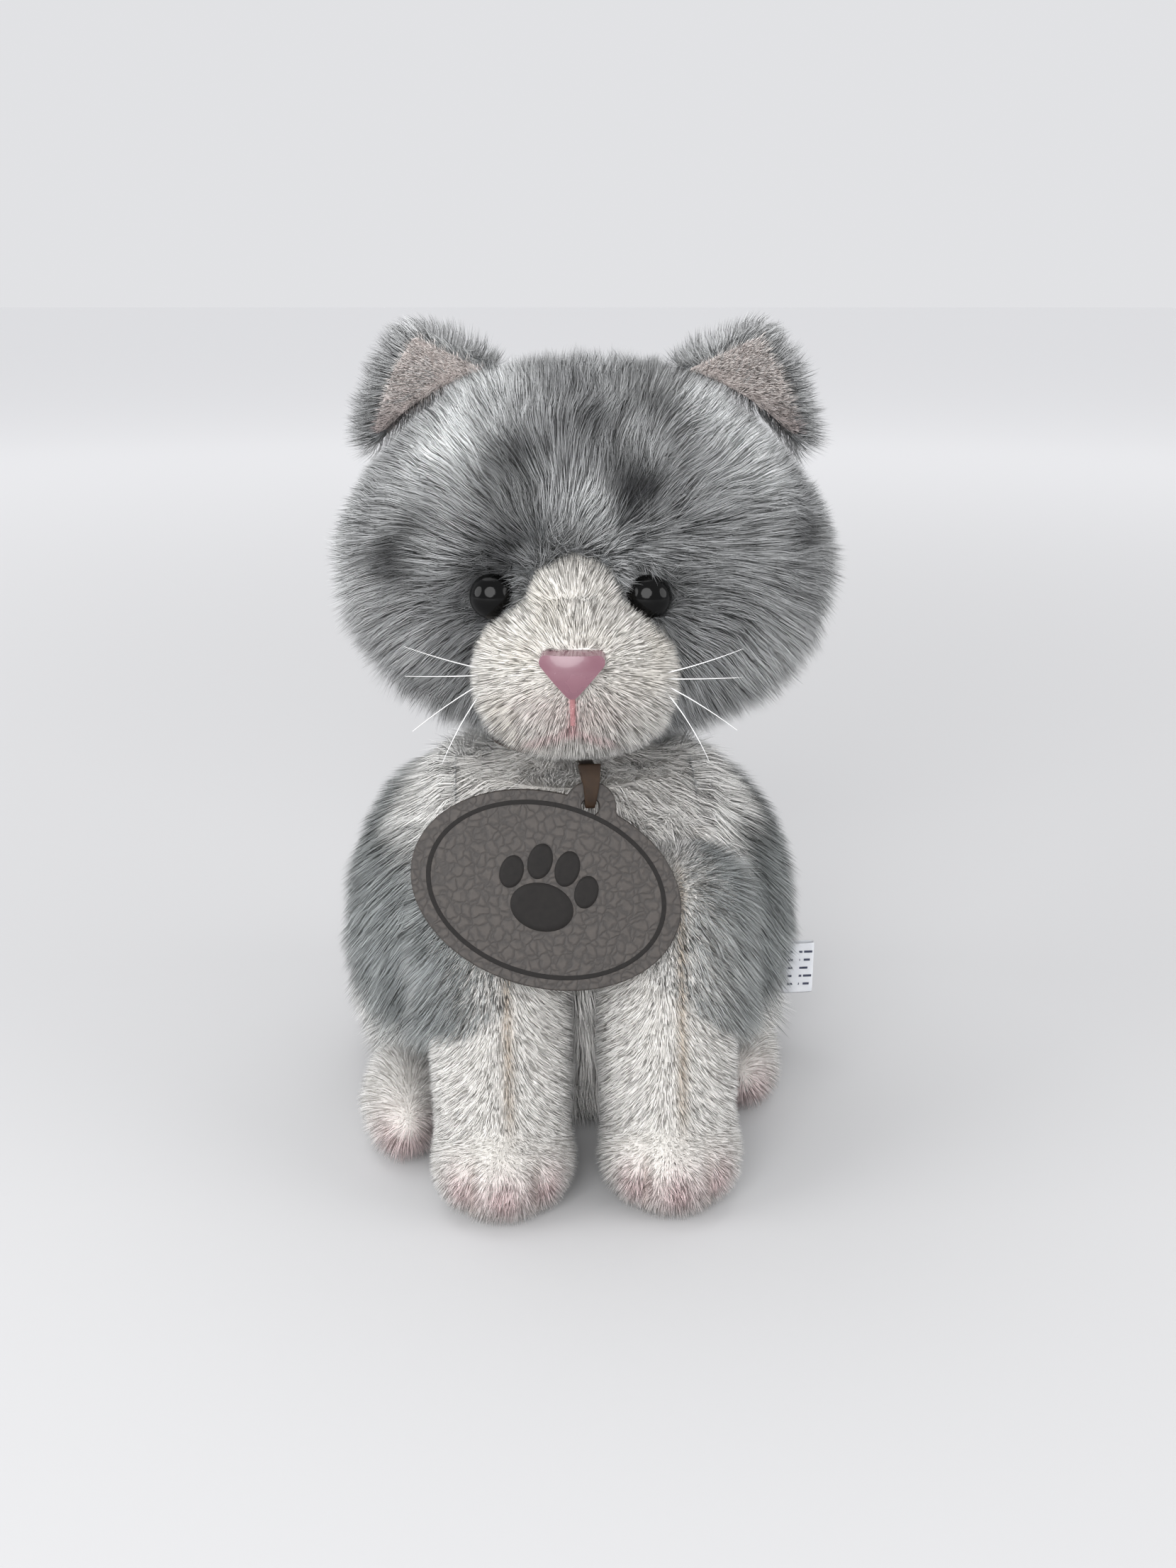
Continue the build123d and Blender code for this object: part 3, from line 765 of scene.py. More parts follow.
class Pile:
    """Grows a pile of separate fibres from a skin."""

    CELLS = 64

    def __init__(self, name: str, skin: Surface, comb: Comb, seed: int) -> None:
        """Take the skin and the way it is combed.

        Args:
            name: The piece's name.
            skin: The surface the fibres grow from.
            comb: How they lie.
            seed: Chooses the scatter.
        """
        self.name = name
        self.skin = skin
        self.comb = comb
        self.seed = seed

    def grow(self, keep: np.ndarray):
        """Make the pile.

        Args:
            keep: Mask of the skin's triangles that carry fibres.

        Returns:
            The mesh object.
        """
        comb = self.comb
        share = 1.0
        roots, normals = self.skin.sample(comb.density * share, self.seed, keep)
        if comb.limit is not None:
            inside = comb.limit(roots) > 0
            roots, normals = roots[inside], normals[inside]
        draw = np.random.default_rng(self.seed + 1)
        count = len(roots)
        flow = comb.flow(roots)
        wander = np.stack([lattice_noise(roots, 3.1 * comb.lock, self.seed + n) for n in range(3)], axis=1)
        fine = np.stack([lattice_noise(roots, 0.9 * comb.lock, self.seed + 7 + n) for n in range(3)], axis=1)
        flow = flow + comb.swirl * (wander + 0.5 * fine) + draw.normal(0.0, 0.10, (count, 3))
        flow = unit(flow - normals * (flow * normals).sum(axis=1, keepdims=True))
        along = comb.lean * (1.0 + 0.25 * lattice_noise(roots, 4.0 * comb.lock, self.seed + 11))
        along = np.clip(along + draw.normal(0.0, 0.05, count), 0.05, 0.95)[:, None]
        length = comb.length * (1.0 - comb.ragged * draw.random(count) ** 1.5)
        length *= 1.0 + 0.16 * lattice_noise(roots, 2.0 * comb.lock, self.seed + 12)
        if comb.length_share is not None:
            length *= comb.length_share(roots)
        length = length[:, None]
        rise = normals * np.sqrt(1.0 - along**2)
        heading = unit(rise + flow * along)
        tips = self._gather(roots, roots + heading * length)
        lifted = unit(normals * 1.1 + heading * 0.55)
        width = comb.width * share**-0.5 * (0.75 + 0.5 * draw.random(count))[:, None]
        rings = []
        stations = np.linspace(0.0, 1.0, comb.steps + 1)
        for t in stations:
            straight = roots + lifted * length * t
            line = roots + (tips - roots) * t
            place = straight * (1.0 - t) + line * t
            place = place - UP * comb.droop * length * t**2
            rings.append(place)
        side = unit(np.cross(rings[-1] - rings[0], normals) + draw.normal(0.0, 0.15, (count, 3)))
        tapers = (0.75, 1.0, 0.62) if comb.steps == 3 else (0.8, 0.9)
        columns = []
        for ring, taper in zip(rings[:-1], tapers):
            columns += [ring - side * width * taper / 2, ring + side * width * taper / 2]
        columns.append(rings[-1])
        points = np.stack(columns, axis=1)
        points[:, :, 2] = np.maximum(points[:, :, 2], FLOOR_CLEARANCE)
        heights = np.repeat(stations[:-1], 2).tolist() + [1.0]
        return self._mesh(points, normals, roots, np.array(heights), draw)

    def _gather(self, roots: np.ndarray, tips: np.ndarray) -> np.ndarray:
        """Draw the tips of each lock together.

        Args:
            roots: Where the fibres start.
            tips: Where they would end on their own.

        Returns:
            Where they end.
        """
        cell = self.comb.lock
        offset = np.stack([lattice_noise(roots, 2.3 * cell, self.seed + 20 + n) for n in range(3)], axis=1)
        keys = np.floor((roots + offset * cell * 0.8) / cell).astype(np.int64)
        _, lock, size = np.unique(keys, axis=0, return_inverse=True, return_counts=True)
        lock = lock.ravel()
        centres = np.stack([np.bincount(lock, tips[:, n]) for n in range(3)], axis=1) / size[:, None]
        draw = np.random.default_rng(self.seed + 2)
        pull = self.comb.gather * (0.5 + 0.5 * draw.random(len(size)))[lock][:, None]
        return tips + (centres[lock] - tips) * pull

    def _mesh(self, points: np.ndarray, normals: np.ndarray, roots: np.ndarray, heights: np.ndarray, draw):
        """Write the fibres as one mesh with their own values and shading.

        Args:
            points: Corners of each fibre.
            normals: The skin's normal at each fibre.
            roots: Where the fibres start.
            heights: How far along the fibre each corner lies.
            draw: The pile's random numbers.

        Returns:
            The mesh object.
        """
        count, corners = points.shape[:2]
        steps = (corners - 1) // 2
        quads = [(2 * n, 2 * n + 1, 2 * n + 3, 2 * n + 2) for n in range(steps - 1)]
        tip = (2 * steps - 2, 2 * steps - 1, 2 * steps)
        pattern = np.array([i for q in quads for i in q] + list(tip))
        sizes = np.array([4] * len(quads) + [3])
        starts = np.concatenate(([0], np.cumsum(sizes)[:-1]))
        loops = (pattern[None, :] + corners * np.arange(count)[:, None]).ravel()
        loop_starts = (starts[None, :] + len(pattern) * np.arange(count)[:, None]).ravel()
        mesh = bpy.data.meshes.new(self.name)
        mesh.vertices.add(count * corners)
        mesh.loops.add(len(loops))
        mesh.polygons.add(count * len(sizes))
        mesh.vertices.foreach_set("co", points.ravel())
        mesh.loops.foreach_set("vertex_index", loops.astype(np.int32))
        mesh.polygons.foreach_set("loop_start", loop_starts.astype(np.int32))
        mesh.update(calc_edges=True)
        mesh.polygons.foreach_set("use_smooth", np.ones(len(mesh.polygons), bool))
        comb = self.comb
        values = {"along": np.tile(heights, count), "draw": np.repeat(draw.random(count), corners)}
        for label, field in (("mark", comb.mark), ("blush", comb.blush)):
            level = np.zeros(count) if field is None else np.clip(field(roots), 0.0, 1.0)
            values[label] = np.repeat(level, corners)
        for label, value in values.items():
            mesh.attributes.new(label, "FLOAT", "POINT").data.foreach_set("value", value.astype(np.float32))
        starts_at = np.repeat(roots, corners, axis=0)
        mesh.attributes.new("root", "FLOAT_VECTOR", "POINT").data.foreach_set("vector", starts_at.ravel())
        self._bake_map(mesh, roots, heights, pattern, count)
        lean = unit(points[:, -1] - points[:, 0])
        shading = unit(normals * 1.0 - lean * (lean * normals).sum(axis=1, keepdims=True) * 0.35)
        shading = np.repeat(shading, corners, axis=0) + 0.0
        mesh.normals_split_custom_set_from_vertices(shading.tolist())
        piece = bpy.data.objects.new(self.name, mesh)
        bpy.context.scene.collection.objects.link(piece)
        LOG.info("%s: %d fibres", self.name, count)
        return piece

    def _bake_map(
        self, mesh, roots: np.ndarray, heights: np.ndarray, pattern: np.ndarray, count: int
    ) -> None:
        """Give neighbouring fibres a shared cell of the bake map.

        Args:
            mesh: The pile's mesh.
            roots: Where the fibres start.
            heights: How far along the fibre each corner lies.
            pattern: Corner numbers of one fibre's faces, in loop order.
            count: Number of fibres.
        """
        cells = self.CELLS
        ranks = np.empty((count, 2))
        low, high = roots.min(axis=0), roots.max(axis=0)
        axes = np.argsort(low - high)[:2]
        order = np.argsort(roots[:, axes[0]], kind="stable")
        band = np.empty(count, np.int64)
        band[order] = np.arange(count) * cells // count
        second = np.lexsort((roots[:, axes[1]], band))
        within = np.empty(count, np.int64)
        firsts = np.searchsorted(band[second], np.arange(cells))
        position = np.arange(count) - firsts[band[second]]
        totals = np.bincount(band, minlength=cells)
        within[second] = position * cells // np.maximum(totals[band[second]], 1)
        ranks[:, 0], ranks[:, 1] = band, within
        across = np.where(np.arange(len(heights)) % 2 == 0, 0.2, 0.8)
        across[-1] = 0.5
        corner_uv = np.stack((across, 0.12 + 0.76 * heights), axis=1)
        uv = (ranks[:, None, :] + corner_uv[pattern][None, :, :]) / cells
        layer = mesh.uv_layers.new(name=BAKE_MAP)
        layer.data.foreach_set("uv", uv.astype(np.float32).ravel())


# ---- shaping helpers -----------------------------------------------------------------------------


def lumpy(piece, amount: float, cell: float, seed: int) -> None:
    """Push a stuffed form's surface in and out a little, never past where it was.

    Args:
        piece: The form to change.
        amount: The deepest dent, in metres.
        cell: Distance between dents, in metres.
        seed: Chooses the pattern.
    """
    points, normals = vertex_array(piece), vertex_normals(piece)
    depth = 0.5 + 0.35 * lattice_noise(points, cell, seed) + 0.15 * lattice_noise(points, cell / 3, seed + 1)
    set_vertices(piece, points - normals * (np.clip(depth, 0.0, 1.0) * amount)[:, None])


def smooth_path(corners: Sequence[Point], per_span: int = 8) -> np.ndarray:
    """A smooth line through a few points.

    Args:
        corners: The points that it passes through.
        per_span: Steps between two of them.

    Returns:
        Points along the line, one a row.
    """
    c = np.array(corners, float)
    c = np.vstack((2 * c[0] - c[1], c, 2 * c[-1] - c[-2]))
    rows = []
    for a, b, d, e in zip(c[:-3], c[1:-2], c[2:-1], c[3:]):
        for t in np.arange(per_span) / per_span:
            rows.append(
                0.5 * (2 * b + (d - a) * t + (2 * a - 5 * b + 4 * d - e) * t**2 + (3 * b - a - 3 * d + e) * t**3)
            )
    rows.append(c[-2])
    return np.array(rows)


def strip(
    name: str, path: np.ndarray, across: np.ndarray, widths: np.ndarray, thickness: float, closed: bool = False
):
    """A flat ribbon of cloth with rolled edges.

    Args:
        name: The piece's name.
        path: Its middle line.
        across: Direction of its width at each point of the line.
        widths: Its width at each point.
        thickness: Its thickness, in metres.
        closed: Whether the line is a loop.

    Returns:
        The mesh object.
    """
    ahead = np.roll(path, -1, axis=0) - np.roll(path, 1, axis=0)
    if not closed:
        ahead[0], ahead[-1] = path[1] - path[0], path[-1] - path[-2]
    across = unit(across)
    through = unit(np.cross(ahead, across))
    turns = np.linspace(0, 2 * math.pi, 16, endpoint=False)
    wide = np.sign(np.cos(turns)) * np.abs(np.cos(turns)) ** 0.5
    thick = np.sign(np.sin(turns)) * np.abs(np.sin(turns)) ** 0.6
    rings = path[:, None, :] + across[:, None, :] * (widths[:, None] * wide / 2)[:, :, None]
    rings = rings + through[:, None, :] * (thick * thickness / 2)[None, :, None]
    count, sides = rings.shape[:2]
    faces = []
    for n in range(count if closed else count - 1):
        m = (n + 1) % count
        faces += [(n * sides + k, n * sides + (k + 1) % sides, m * sides + (k + 1) % sides, m * sides + k)
                  for k in range(sides)]
    if not closed:
        faces += [tuple(reversed(range(sides))), tuple((count - 1) * sides + k for k in range(sides))]
    build = bmesh.new()
    corners = [build.verts.new(p) for p in rings.reshape(-1, 3)]
    for face in faces:
        build.faces.new([corners[i] for i in face])
    return from_bmesh(name, build)


def puffed(piece, pressure: float, most: float) -> None:
    """Fill a closed cloth form with air, so that it draws into folds and rounds out.

    Args:
        piece: The closed form, already evenly meshed.
        pressure: Cloth pressure.
        most: The furthest that a point may move, in metres.
    """
    start = vertex_array(piece)
    cloth = piece.modifiers.new("filled", "CLOTH")
    cloth.settings.use_pressure = True
    cloth.settings.uniform_pressure_force = pressure
    cloth.settings.effector_weights.gravity = 0.0
    cloth.settings.shrink_min = -0.04
    cloth.settings.tension_stiffness = 12.0
    cloth.settings.bending_stiffness = 0.6
    cloth.settings.quality = 5
    cloth.collision_settings.use_collision = False
    cloth.point_cache.frame_end = 20
    scene = bpy.context.scene
    for step in range(1, 21):
        scene.frame_set(step)
    settle(piece)
    scene.frame_set(1)
    moved = vertex_array(piece) - start
    reach = np.linalg.norm(moved, axis=1, keepdims=True)
    set_vertices(piece, start + moved * np.minimum(1.0, most / np.maximum(reach, 1e-9)))


@dataclass
class Skin:
    """One sewn skin: a backing cloth, and the pile that stands on it."""

    node: str
    body: str
    slot: str
    backing: ClothFinish
    fibre: FibreFinish
    comb: Comb
    middle: Field                     # for each point, the middle of the form that the skin goes round
    depth: float                      # backing and pile together, m
    seed: int
    voxel: float = 1.3 * MM
    cloth: float = 1.2 * MM
    reshape: Field | None = None      # moves the sunk cloth's points

    def make(self) -> list:
        """Make the cloth and its pile.

        Returns:
            The two pieces.
        """
        piece = copy_of_node(self.node, f"{self.node}_cloth", self.voxel)
        points, normals = vertex_array(piece), vertex_normals(piece)
        facing = (normals * unit(points - self.middle(points))).sum(axis=1)
        sink = smoothstep(facing, 0.1, 0.55) * (self.depth - self.cloth)
        points = self._trim_rims(points, points - normals * sink[:, None], facing)
        points[:, 2] = np.maximum(points[:, 2], FLOOR_CLEARANCE)
        if self.reshape is not None:
            points = self.reshape(points)
        set_vertices(piece, points)
        skin = Surface.of_object(piece)
        keep = facing[skin.triangles].mean(axis=1) > 0.02
        skin.normals = unit(skin.normals * 0.55 + unit(points - self.middle(points)) * 0.45)
        fringe = Pile(f"{self.node}_pile", skin, self.comb, self.seed).grow(keep)
        dress(piece, self.backing.material(), self.body)
        dress(fringe, self.fibre.material(), self.body)
        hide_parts(self.node)
        return [piece, fringe]

    def _trim_rims(self, before: np.ndarray, after: np.ndarray, facing: np.ndarray) -> np.ndarray:
        """Bring the skin's cut edges down to the cloth's thickness.

        Args:
            before: The shell's points.
            after: The points with the outer side sunk.
            facing: How far each point faces outward.

        Returns:
            The points with their rims trimmed.
        """
        lining = before[facing < -0.6]
        rim = np.flatnonzero((facing > -0.6) & (facing < 0.6))
        if len(lining) < len(before) // 6:
            return after
        tree = kdtree.KDTree(len(lining))
        for n, point in enumerate(lining):
            tree.insert(Vector(point), n)
        tree.balance()
        result = after.copy()
        for n in rim:
            foot, _, gap = tree.find(Vector(after[n]))
            if gap > self.cloth:
                result[n] = np.array(foot) + (after[n] - np.array(foot)) * self.cloth / gap
        return result


def stuffing(node: str, body: str, finish: ClothFinish, voxel: float = 2.5 * MM):
    """A wad of filling in place of a CAD solid.

    Args:
        node: The CAD node that it stands for.
        body: The body that it rides on.
        finish: Its material.
        voxel: Voxel size of its mesh, in metres.

    Returns:
        The piece.
    """
    piece = copy_of_node(node, f"{node}_wad", voxel)
    lumpy(piece, 0.6 * MM, 7.0 * MM, len(node))
    dress(piece, finish.material(), body)
    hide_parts(node)
    return piece


# ---- the cat's sub-assemblies --------------------------------------------------------------------


@dataclass
class Torso:
    """Body skins, filling, bean pouch and hind feet."""

    long_pile: float = 6.5 * MM
    short_pile: float = 3.0 * MM
    middle_y: float = 1.0 * MM
    pellet: float = 1.5 * MM
    pellet_step: float = 3.7 * MM

    def middle(self, points: np.ndarray) -> np.ndarray:
        """The torso's upright axis, level with each point."""
        zero = points[:, 0] * 0
        return np.stack((zero, zero + self.middle_y, np.clip(points[:, 2], 0.02, 0.06)), axis=1)

    def down(self, points: np.ndarray) -> np.ndarray:
        """Body pile lies down and a little outward."""
        out = points - self.middle(points)
        return unit(unit(out) * 0.25 - UP * 1.0 + np.array((0.0, 0.12, 0.0)))

    def smoky(self, points: np.ndarray) -> np.ndarray:
        """Darker clouds in the grey of the flanks."""
        return np.clip(0.9 * lattice_noise(points, 11 * MM, 95) + 0.1, 0.0, 0.8)

    def pale(self, points: np.ndarray) -> np.ndarray:
        """White at the shoulders by the neck, about the bib, and low on the haunches."""
        x, y, z = np.abs(points[:, 0]), points[:, 1], points[:, 2]
        wobble = 4 * MM * lattice_noise(points, 14 * MM, 91)
        collar = smoothstep(z + wobble + 0.35 * np.maximum(-y, 0.0), 0.070, 0.080)
        front = smoothstep(-(x + wobble), -0.033, -0.025) * smoothstep(-y, 0.004, 0.014)
        haunch = smoothstep(-(z + wobble), -0.030, -0.018) * smoothstep(-y, -0.020, -0.002)
        return np.clip(np.maximum(np.maximum(collar, front), 0.9 * haunch), 0.0, 1.0)

    def make(self) -> list:
        """Make every piece of the torso.

        Returns:
            The pieces.
        """
        pieces = []
        coat = Comb(self.down, 10.5 * MM, 9.0e6, lean=0.55, blush=self.pale, mark=self.smoky)
        bib = Comb(self.down, 10.5 * MM, 10.0e6, lean=0.62)
        seat = Comb(self.down, 6.0 * MM, 3.5e6, lean=0.8, blush=self.pale)
        for n, side in enumerate(Side):
            node = f"{side.word}_flank_panel"
            pieces += Skin(node, "torso", "grey_plush", GREY_BACKING, FLANK_FIBRE, coat, self.middle,
                           self.long_pile, 100 + n).make()
        pieces += Skin("bib_panel", "torso", "white_plush", WHITE_BACKING, WHITE_FIBRE, bib, self.middle,
                       self.long_pile, 110).make()
        pieces += Skin("seat_panel", "torso", "grey_plush", GREY_BACKING, FLANK_FIBRE, seat, self.middle,
                       self.long_pile, 111).make()
        pieces.append(stuffing("torso_stuffing", "torso", POLYESTER_FILL))
        pieces.append(self._pouch())
        pieces.append(self._pellets())
        for n, side in enumerate(Side):
            pieces += self._hind_foot(side, 120 + n)
        return pieces

    def _pouch(self):
        """The closed pouch of beans, slack and creased."""
        piece = copy_of_node("bean_pouch", "bean_pouch_bag", 0.45 * MM)
        dress(piece, POUCH_CLOTH.material(), "torso")
        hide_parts("bean_pouch")
        return piece

    def _pellets(self):
        """Round plastic pellets that fill the pouch."""
        low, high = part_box("bean_fill")
        centre, radii = (np.array(low) + high) / 2, (np.array(high) - low) / 2 - self.pellet
        counts = (radii / self.pellet_step).astype(int) + 1
        steps = np.meshgrid(*(np.arange(-n, n + 1) for n in counts), indexing="ij")
        grid = np.stack(steps, axis=-1).reshape(-1, 3)
        places = (grid + 0.5 * (grid[:, 2:] % 2) * np.array((1, 1, 0))) * self.pellet_step
        draw = np.random.default_rng(31)
        places = places + draw.uniform(-0.3, 0.3, places.shape) * MM
        places = places[((places / radii) ** 2).sum(axis=1) < 1.0]
        build = bmesh.new()
        for place in places:
            bmesh.ops.create_icosphere(
                build, subdivisions=1, radius=self.pellet, matrix=Matrix.Translation(Vector(centre + place))
            )
        piece = from_bmesh("bean_pellets", build)
        dress(piece, PELLET_PLASTIC.material(), "torso")
        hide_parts("bean_fill")
        return piece

    def _hind_foot(self, side: Side, seed: int) -> list:
        """One hind foot: filled cloth form with short pile.

        Args:
            side: Which foot.
            seed: Chooses the scatter of its pile.

        Returns:
            Its pieces.
        """
        skin, wad = f"{side.word}_hind_foot_skin", f"{side.word}_hind_foot_stuffing"
        low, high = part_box(skin)
        centre = (np.array(low) + high) / 2
        toe = np.array((centre[0], low[1], low[2]))

        def middle(points: np.ndarray) -> np.ndarray:
            """The foot's long axis."""
            return np.stack((points[:, 0] * 0 + centre[0], points[:, 1] * 0.8 + centre[1] * 0.2,
                             points[:, 0] * 0 + centre[2]), axis=1)

        def forward(points: np.ndarray) -> np.ndarray:
            """Pile lies towards the toes."""
            return unit(np.array((0.0, -1.0, -0.15)) + 0.25 * (points - centre) / 0.01)

        def rosy(points: np.ndarray) -> np.ndarray:
            """Pink at the toes."""
            return 0.55 * bump(points, tuple(toe + np.array((0, 2, 5)) * MM), (0.009, 0.007, 0.006))

        comb = Comb(forward, 4.2 * MM, 18.0e6, lean=0.18, width=0.10 * MM, lock=1.0 * MM, gather=0.08,
                    swirl=0.8, blush=rosy)
        pieces = Skin(skin, "torso", "white_plush", WHITE_BACKING, WHITE_FIBRE, comb, middle,
                      self.short_pile, seed, 0.8 * MM, 1.0 * MM).make()
        pieces.append(stuffing(wad, "torso", POLYESTER_FILL, 1.6 * MM))
        return pieces


@dataclass
class Foreleg:
    """One front leg: a filled cloth tube with short pile and painted toes."""

    side: Side
    voxel: float = 2.4 * MM
    toe_gap: float = 5.6 * MM

    def make(self) -> list:
        """Make the leg's cloth, its pile and its filling.

        Returns:
            The pieces.
        """
        word = self.side.word
        body, skin, wad = f"{word}_foreleg", f"{word}_foreleg_skin", f"{word}_foreleg_stuffing"
        low, high = (np.array(corner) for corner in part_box(skin))
        x = (low[0] + high[0]) / 2
        knee = np.array((x, high[1] - 14 * MM, high[2] - 14 * MM))
        paw = np.array((x, low[1] + 14 * MM, 0.011))

        def middle(points: np.ndarray) -> np.ndarray:
            """The leg's long axis, from the shoulder to the paw."""
            share = np.clip((points - paw) @ (knee - paw) / ((knee - paw) @ (knee - paw)), 0.0, 1.0)
            return paw + share[:, None] * (knee - paw)

        def down(points: np.ndarray) -> np.ndarray:
            """Pile lies down the leg and forward over the paw."""
            foot = smoothstep(-points[:, 2], -0.024, -0.008)[:, None]
            outward = 0.2 * (points - middle(points)) / 0.012
            return unit(-UP * (1.0 - 0.7 * foot) + np.array((0.0, -1.0, 0.0)) * foot + outward)

        def rosy(points: np.ndarray) -> np.ndarray:
            """Pink air-brushed over each toe."""
            total = np.zeros(len(points))
            for n in (-1, 0, 1):
                centre = (x + n * 2 * self.toe_gap * 0.72, low[1] + (1.5 + 1.6 * abs(n)) * MM, 7.5 * MM)
                total += bump(points, centre, (3.6 * MM, 5.5 * MM, 5.0 * MM))
            return np.clip(0.62 * total, 0.0, 0.72)

        def creased(points: np.ndarray) -> np.ndarray:
            """A faint brown line down the front seam, and painted shade in the notches between the toes."""
            front = smoothstep(middle(points)[:, 1] - points[:, 1], 0.004, 0.010)
            seam = np.exp(-(((points[:, 0] - x - 1.2 * MM) / (1.0 * MM)) ** 2)) * front
            seam *= smoothstep(points[:, 2], 0.014, 0.024) * 0.85
            # painted shade: darker in the notches between the toes
            notch = sum(
                np.exp(-(((points[:, 0] - x - n * self.toe_gap) / (0.75 * MM)) ** 2)) for n in (-1, 1)
            )
            reach = bump(points, (x, low[1], 7 * MM), (0.02, 6.0 * MM, 6.5 * MM))
            return np.clip(seam + notch * reach, 0.0, 1.0)

        def sleeve(points: np.ndarray) -> np.ndarray:
            """Above 0 where grey fur hangs over the leg's top and outer side, clear of the tag."""
            outer = np.abs(points[:, 0]) - abs(x)
            edge = points[:, 2] - 0.044 + 0.8 * outer + 3 * MM * lattice_noise(points, 7 * MM, 97)
            return np.minimum(edge, outer + 5 * MM)

        def trimmed(points: np.ndarray) -> np.ndarray:
            """Shorter on the front, where the tag hangs, than on the outer side."""
            return 0.35 + 0.75 * smoothstep(np.abs(points[:, 0]) - abs(x), 0.001, 0.010)

        def dappled(points: np.ndarray) -> np.ndarray:
            """White beside the bib and in small clouds."""
            inner = smoothstep(abs(x) - np.abs(points[:, 0]), 0.0, 0.007)
            return np.clip(inner + 0.3 * lattice_noise(points, 8 * MM, 98), 0.0, 1.0)

        cloth = copy_of_node(wad, f"{skin}_cloth", self.voxel)
        puffed(cloth, 3.0, 1.1 * MM)
        rounder = cloth.modifiers.new("rounder", "SUBSURF")
        rounder.levels = rounder.render_levels = 1
        settle(cloth)
        points, normals = vertex_array(cloth), vertex_normals(cloth)
        notch = sum(
            np.exp(-(((points[:, 0] - x - n * self.toe_gap) / (1.1 * MM)) ** 2))
            * bump(points, (x, low[1] + 2 * MM, 7 * MM), (0.02, 6.0 * MM, 6.0 * MM)) for n in (-1, 1)
        )
        points = points + normals * (1.6 * MM - notch * 2.4 * MM)[:, None]
        points[:, 2] = np.maximum(points[:, 2], 1.0 * MM)
        set_vertices(cloth, points)
        surface = Surface.of_object(cloth)
        comb = Comb(down, 3.2 * MM, 24.0e6, lean=0.25, width=0.10 * MM, lock=1.0 * MM, gather=0.04,
                    swirl=0.4, mark=creased, blush=rosy, droop=0.05)
        tuft = Comb(down, 9.0 * MM, 10.0e6, lean=0.5, length_share=trimmed, limit=sleeve, blush=dappled)
        everywhere = np.ones(len(surface.triangles), bool)
        cuff = Pile(f"{skin}_sleeve", surface, tuft, 220 + self.side.value).grow(everywhere)
        dress(cuff, FLANK_FIBRE.material(), body)
        pile = Pile(f"{skin}_pile", surface, comb, 200 + self.side.value).grow(everywhere)
        dress(cloth, WHITE_BACKING.material(), body)
        dress(pile, WHITE_FIBRE.material(), body)
        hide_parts(skin)
        inner = copy_of_node(wad, f"{wad}_wad", self.voxel)
        lumpy(inner, 1.0 * MM, 7.0 * MM, 4)
        set_vertices(inner, vertex_array(inner) - vertex_normals(inner) * 1.2 * MM)
        dress(inner, POLYESTER_FILL.material(), body)
        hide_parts(wad)
        return [cloth, pile, cuff, inner]


@dataclass
class Tail:
    """The tail, lying on the ground and bent to the cat's left."""

    straight: float = 14.0 * MM
    bend: float = 26.0 * MM

    def make(self) -> list:
        """Make the tail's skin and filling.

        Returns:
            The pieces.
        """
        base = np.array(frame_joint("tail_swish")["pos_m"])
        turn = base + np.array((self.bend, self.straight, 0.0))

        def flow(points: np.ndarray) -> np.ndarray:
            """Pile lies from the root to the tip."""
            arm = points - turn
            bent = unit(np.stack((arm[:, 1], -arm[:, 0], 0 * arm[:, 0]), axis=1))
            early = smoothstep(turn[1] - points[:, 1], -0.004, 0.004)[:, None]
            return unit(bent * (1 - early) + np.array((0.0, 1.0, 0.0)) * early)

        def middle(points: np.ndarray) -> np.ndarray:
            """The tail's long axis."""
            arm = (points - turn) * np.array((1.0, 1.0, 0.0))
            bent = turn + unit(arm) * self.bend
            zero = points[:, 0] * 0
            straight = np.stack((zero + base[0], np.maximum(points[:, 1], base[1]), zero + base[2]), axis=1)
            level = bent * np.array((1, 1, 0)) + base * np.array((0, 0, 1))
            return np.where((points[:, 1] < turn[1])[:, None], straight, level)

        comb = Comb(flow, 9.0 * MM, 7.0e6, lean=0.72)
        coat = Skin("tail_skin", "tail", "grey_plush", GREY_BACKING, FLANK_FIBRE, comb, middle, 6.5 * MM, 300)
        pieces = coat.make()
        pieces.append(stuffing("tail_stuffing", "tail", POLYESTER_FILL, 0.8 * MM))
        return pieces


def frame_joint(name: str) -> dict:
    """The frame's joint of that name."""
    return next(joint for joint in frame["joints"] if joint["name"] == name)


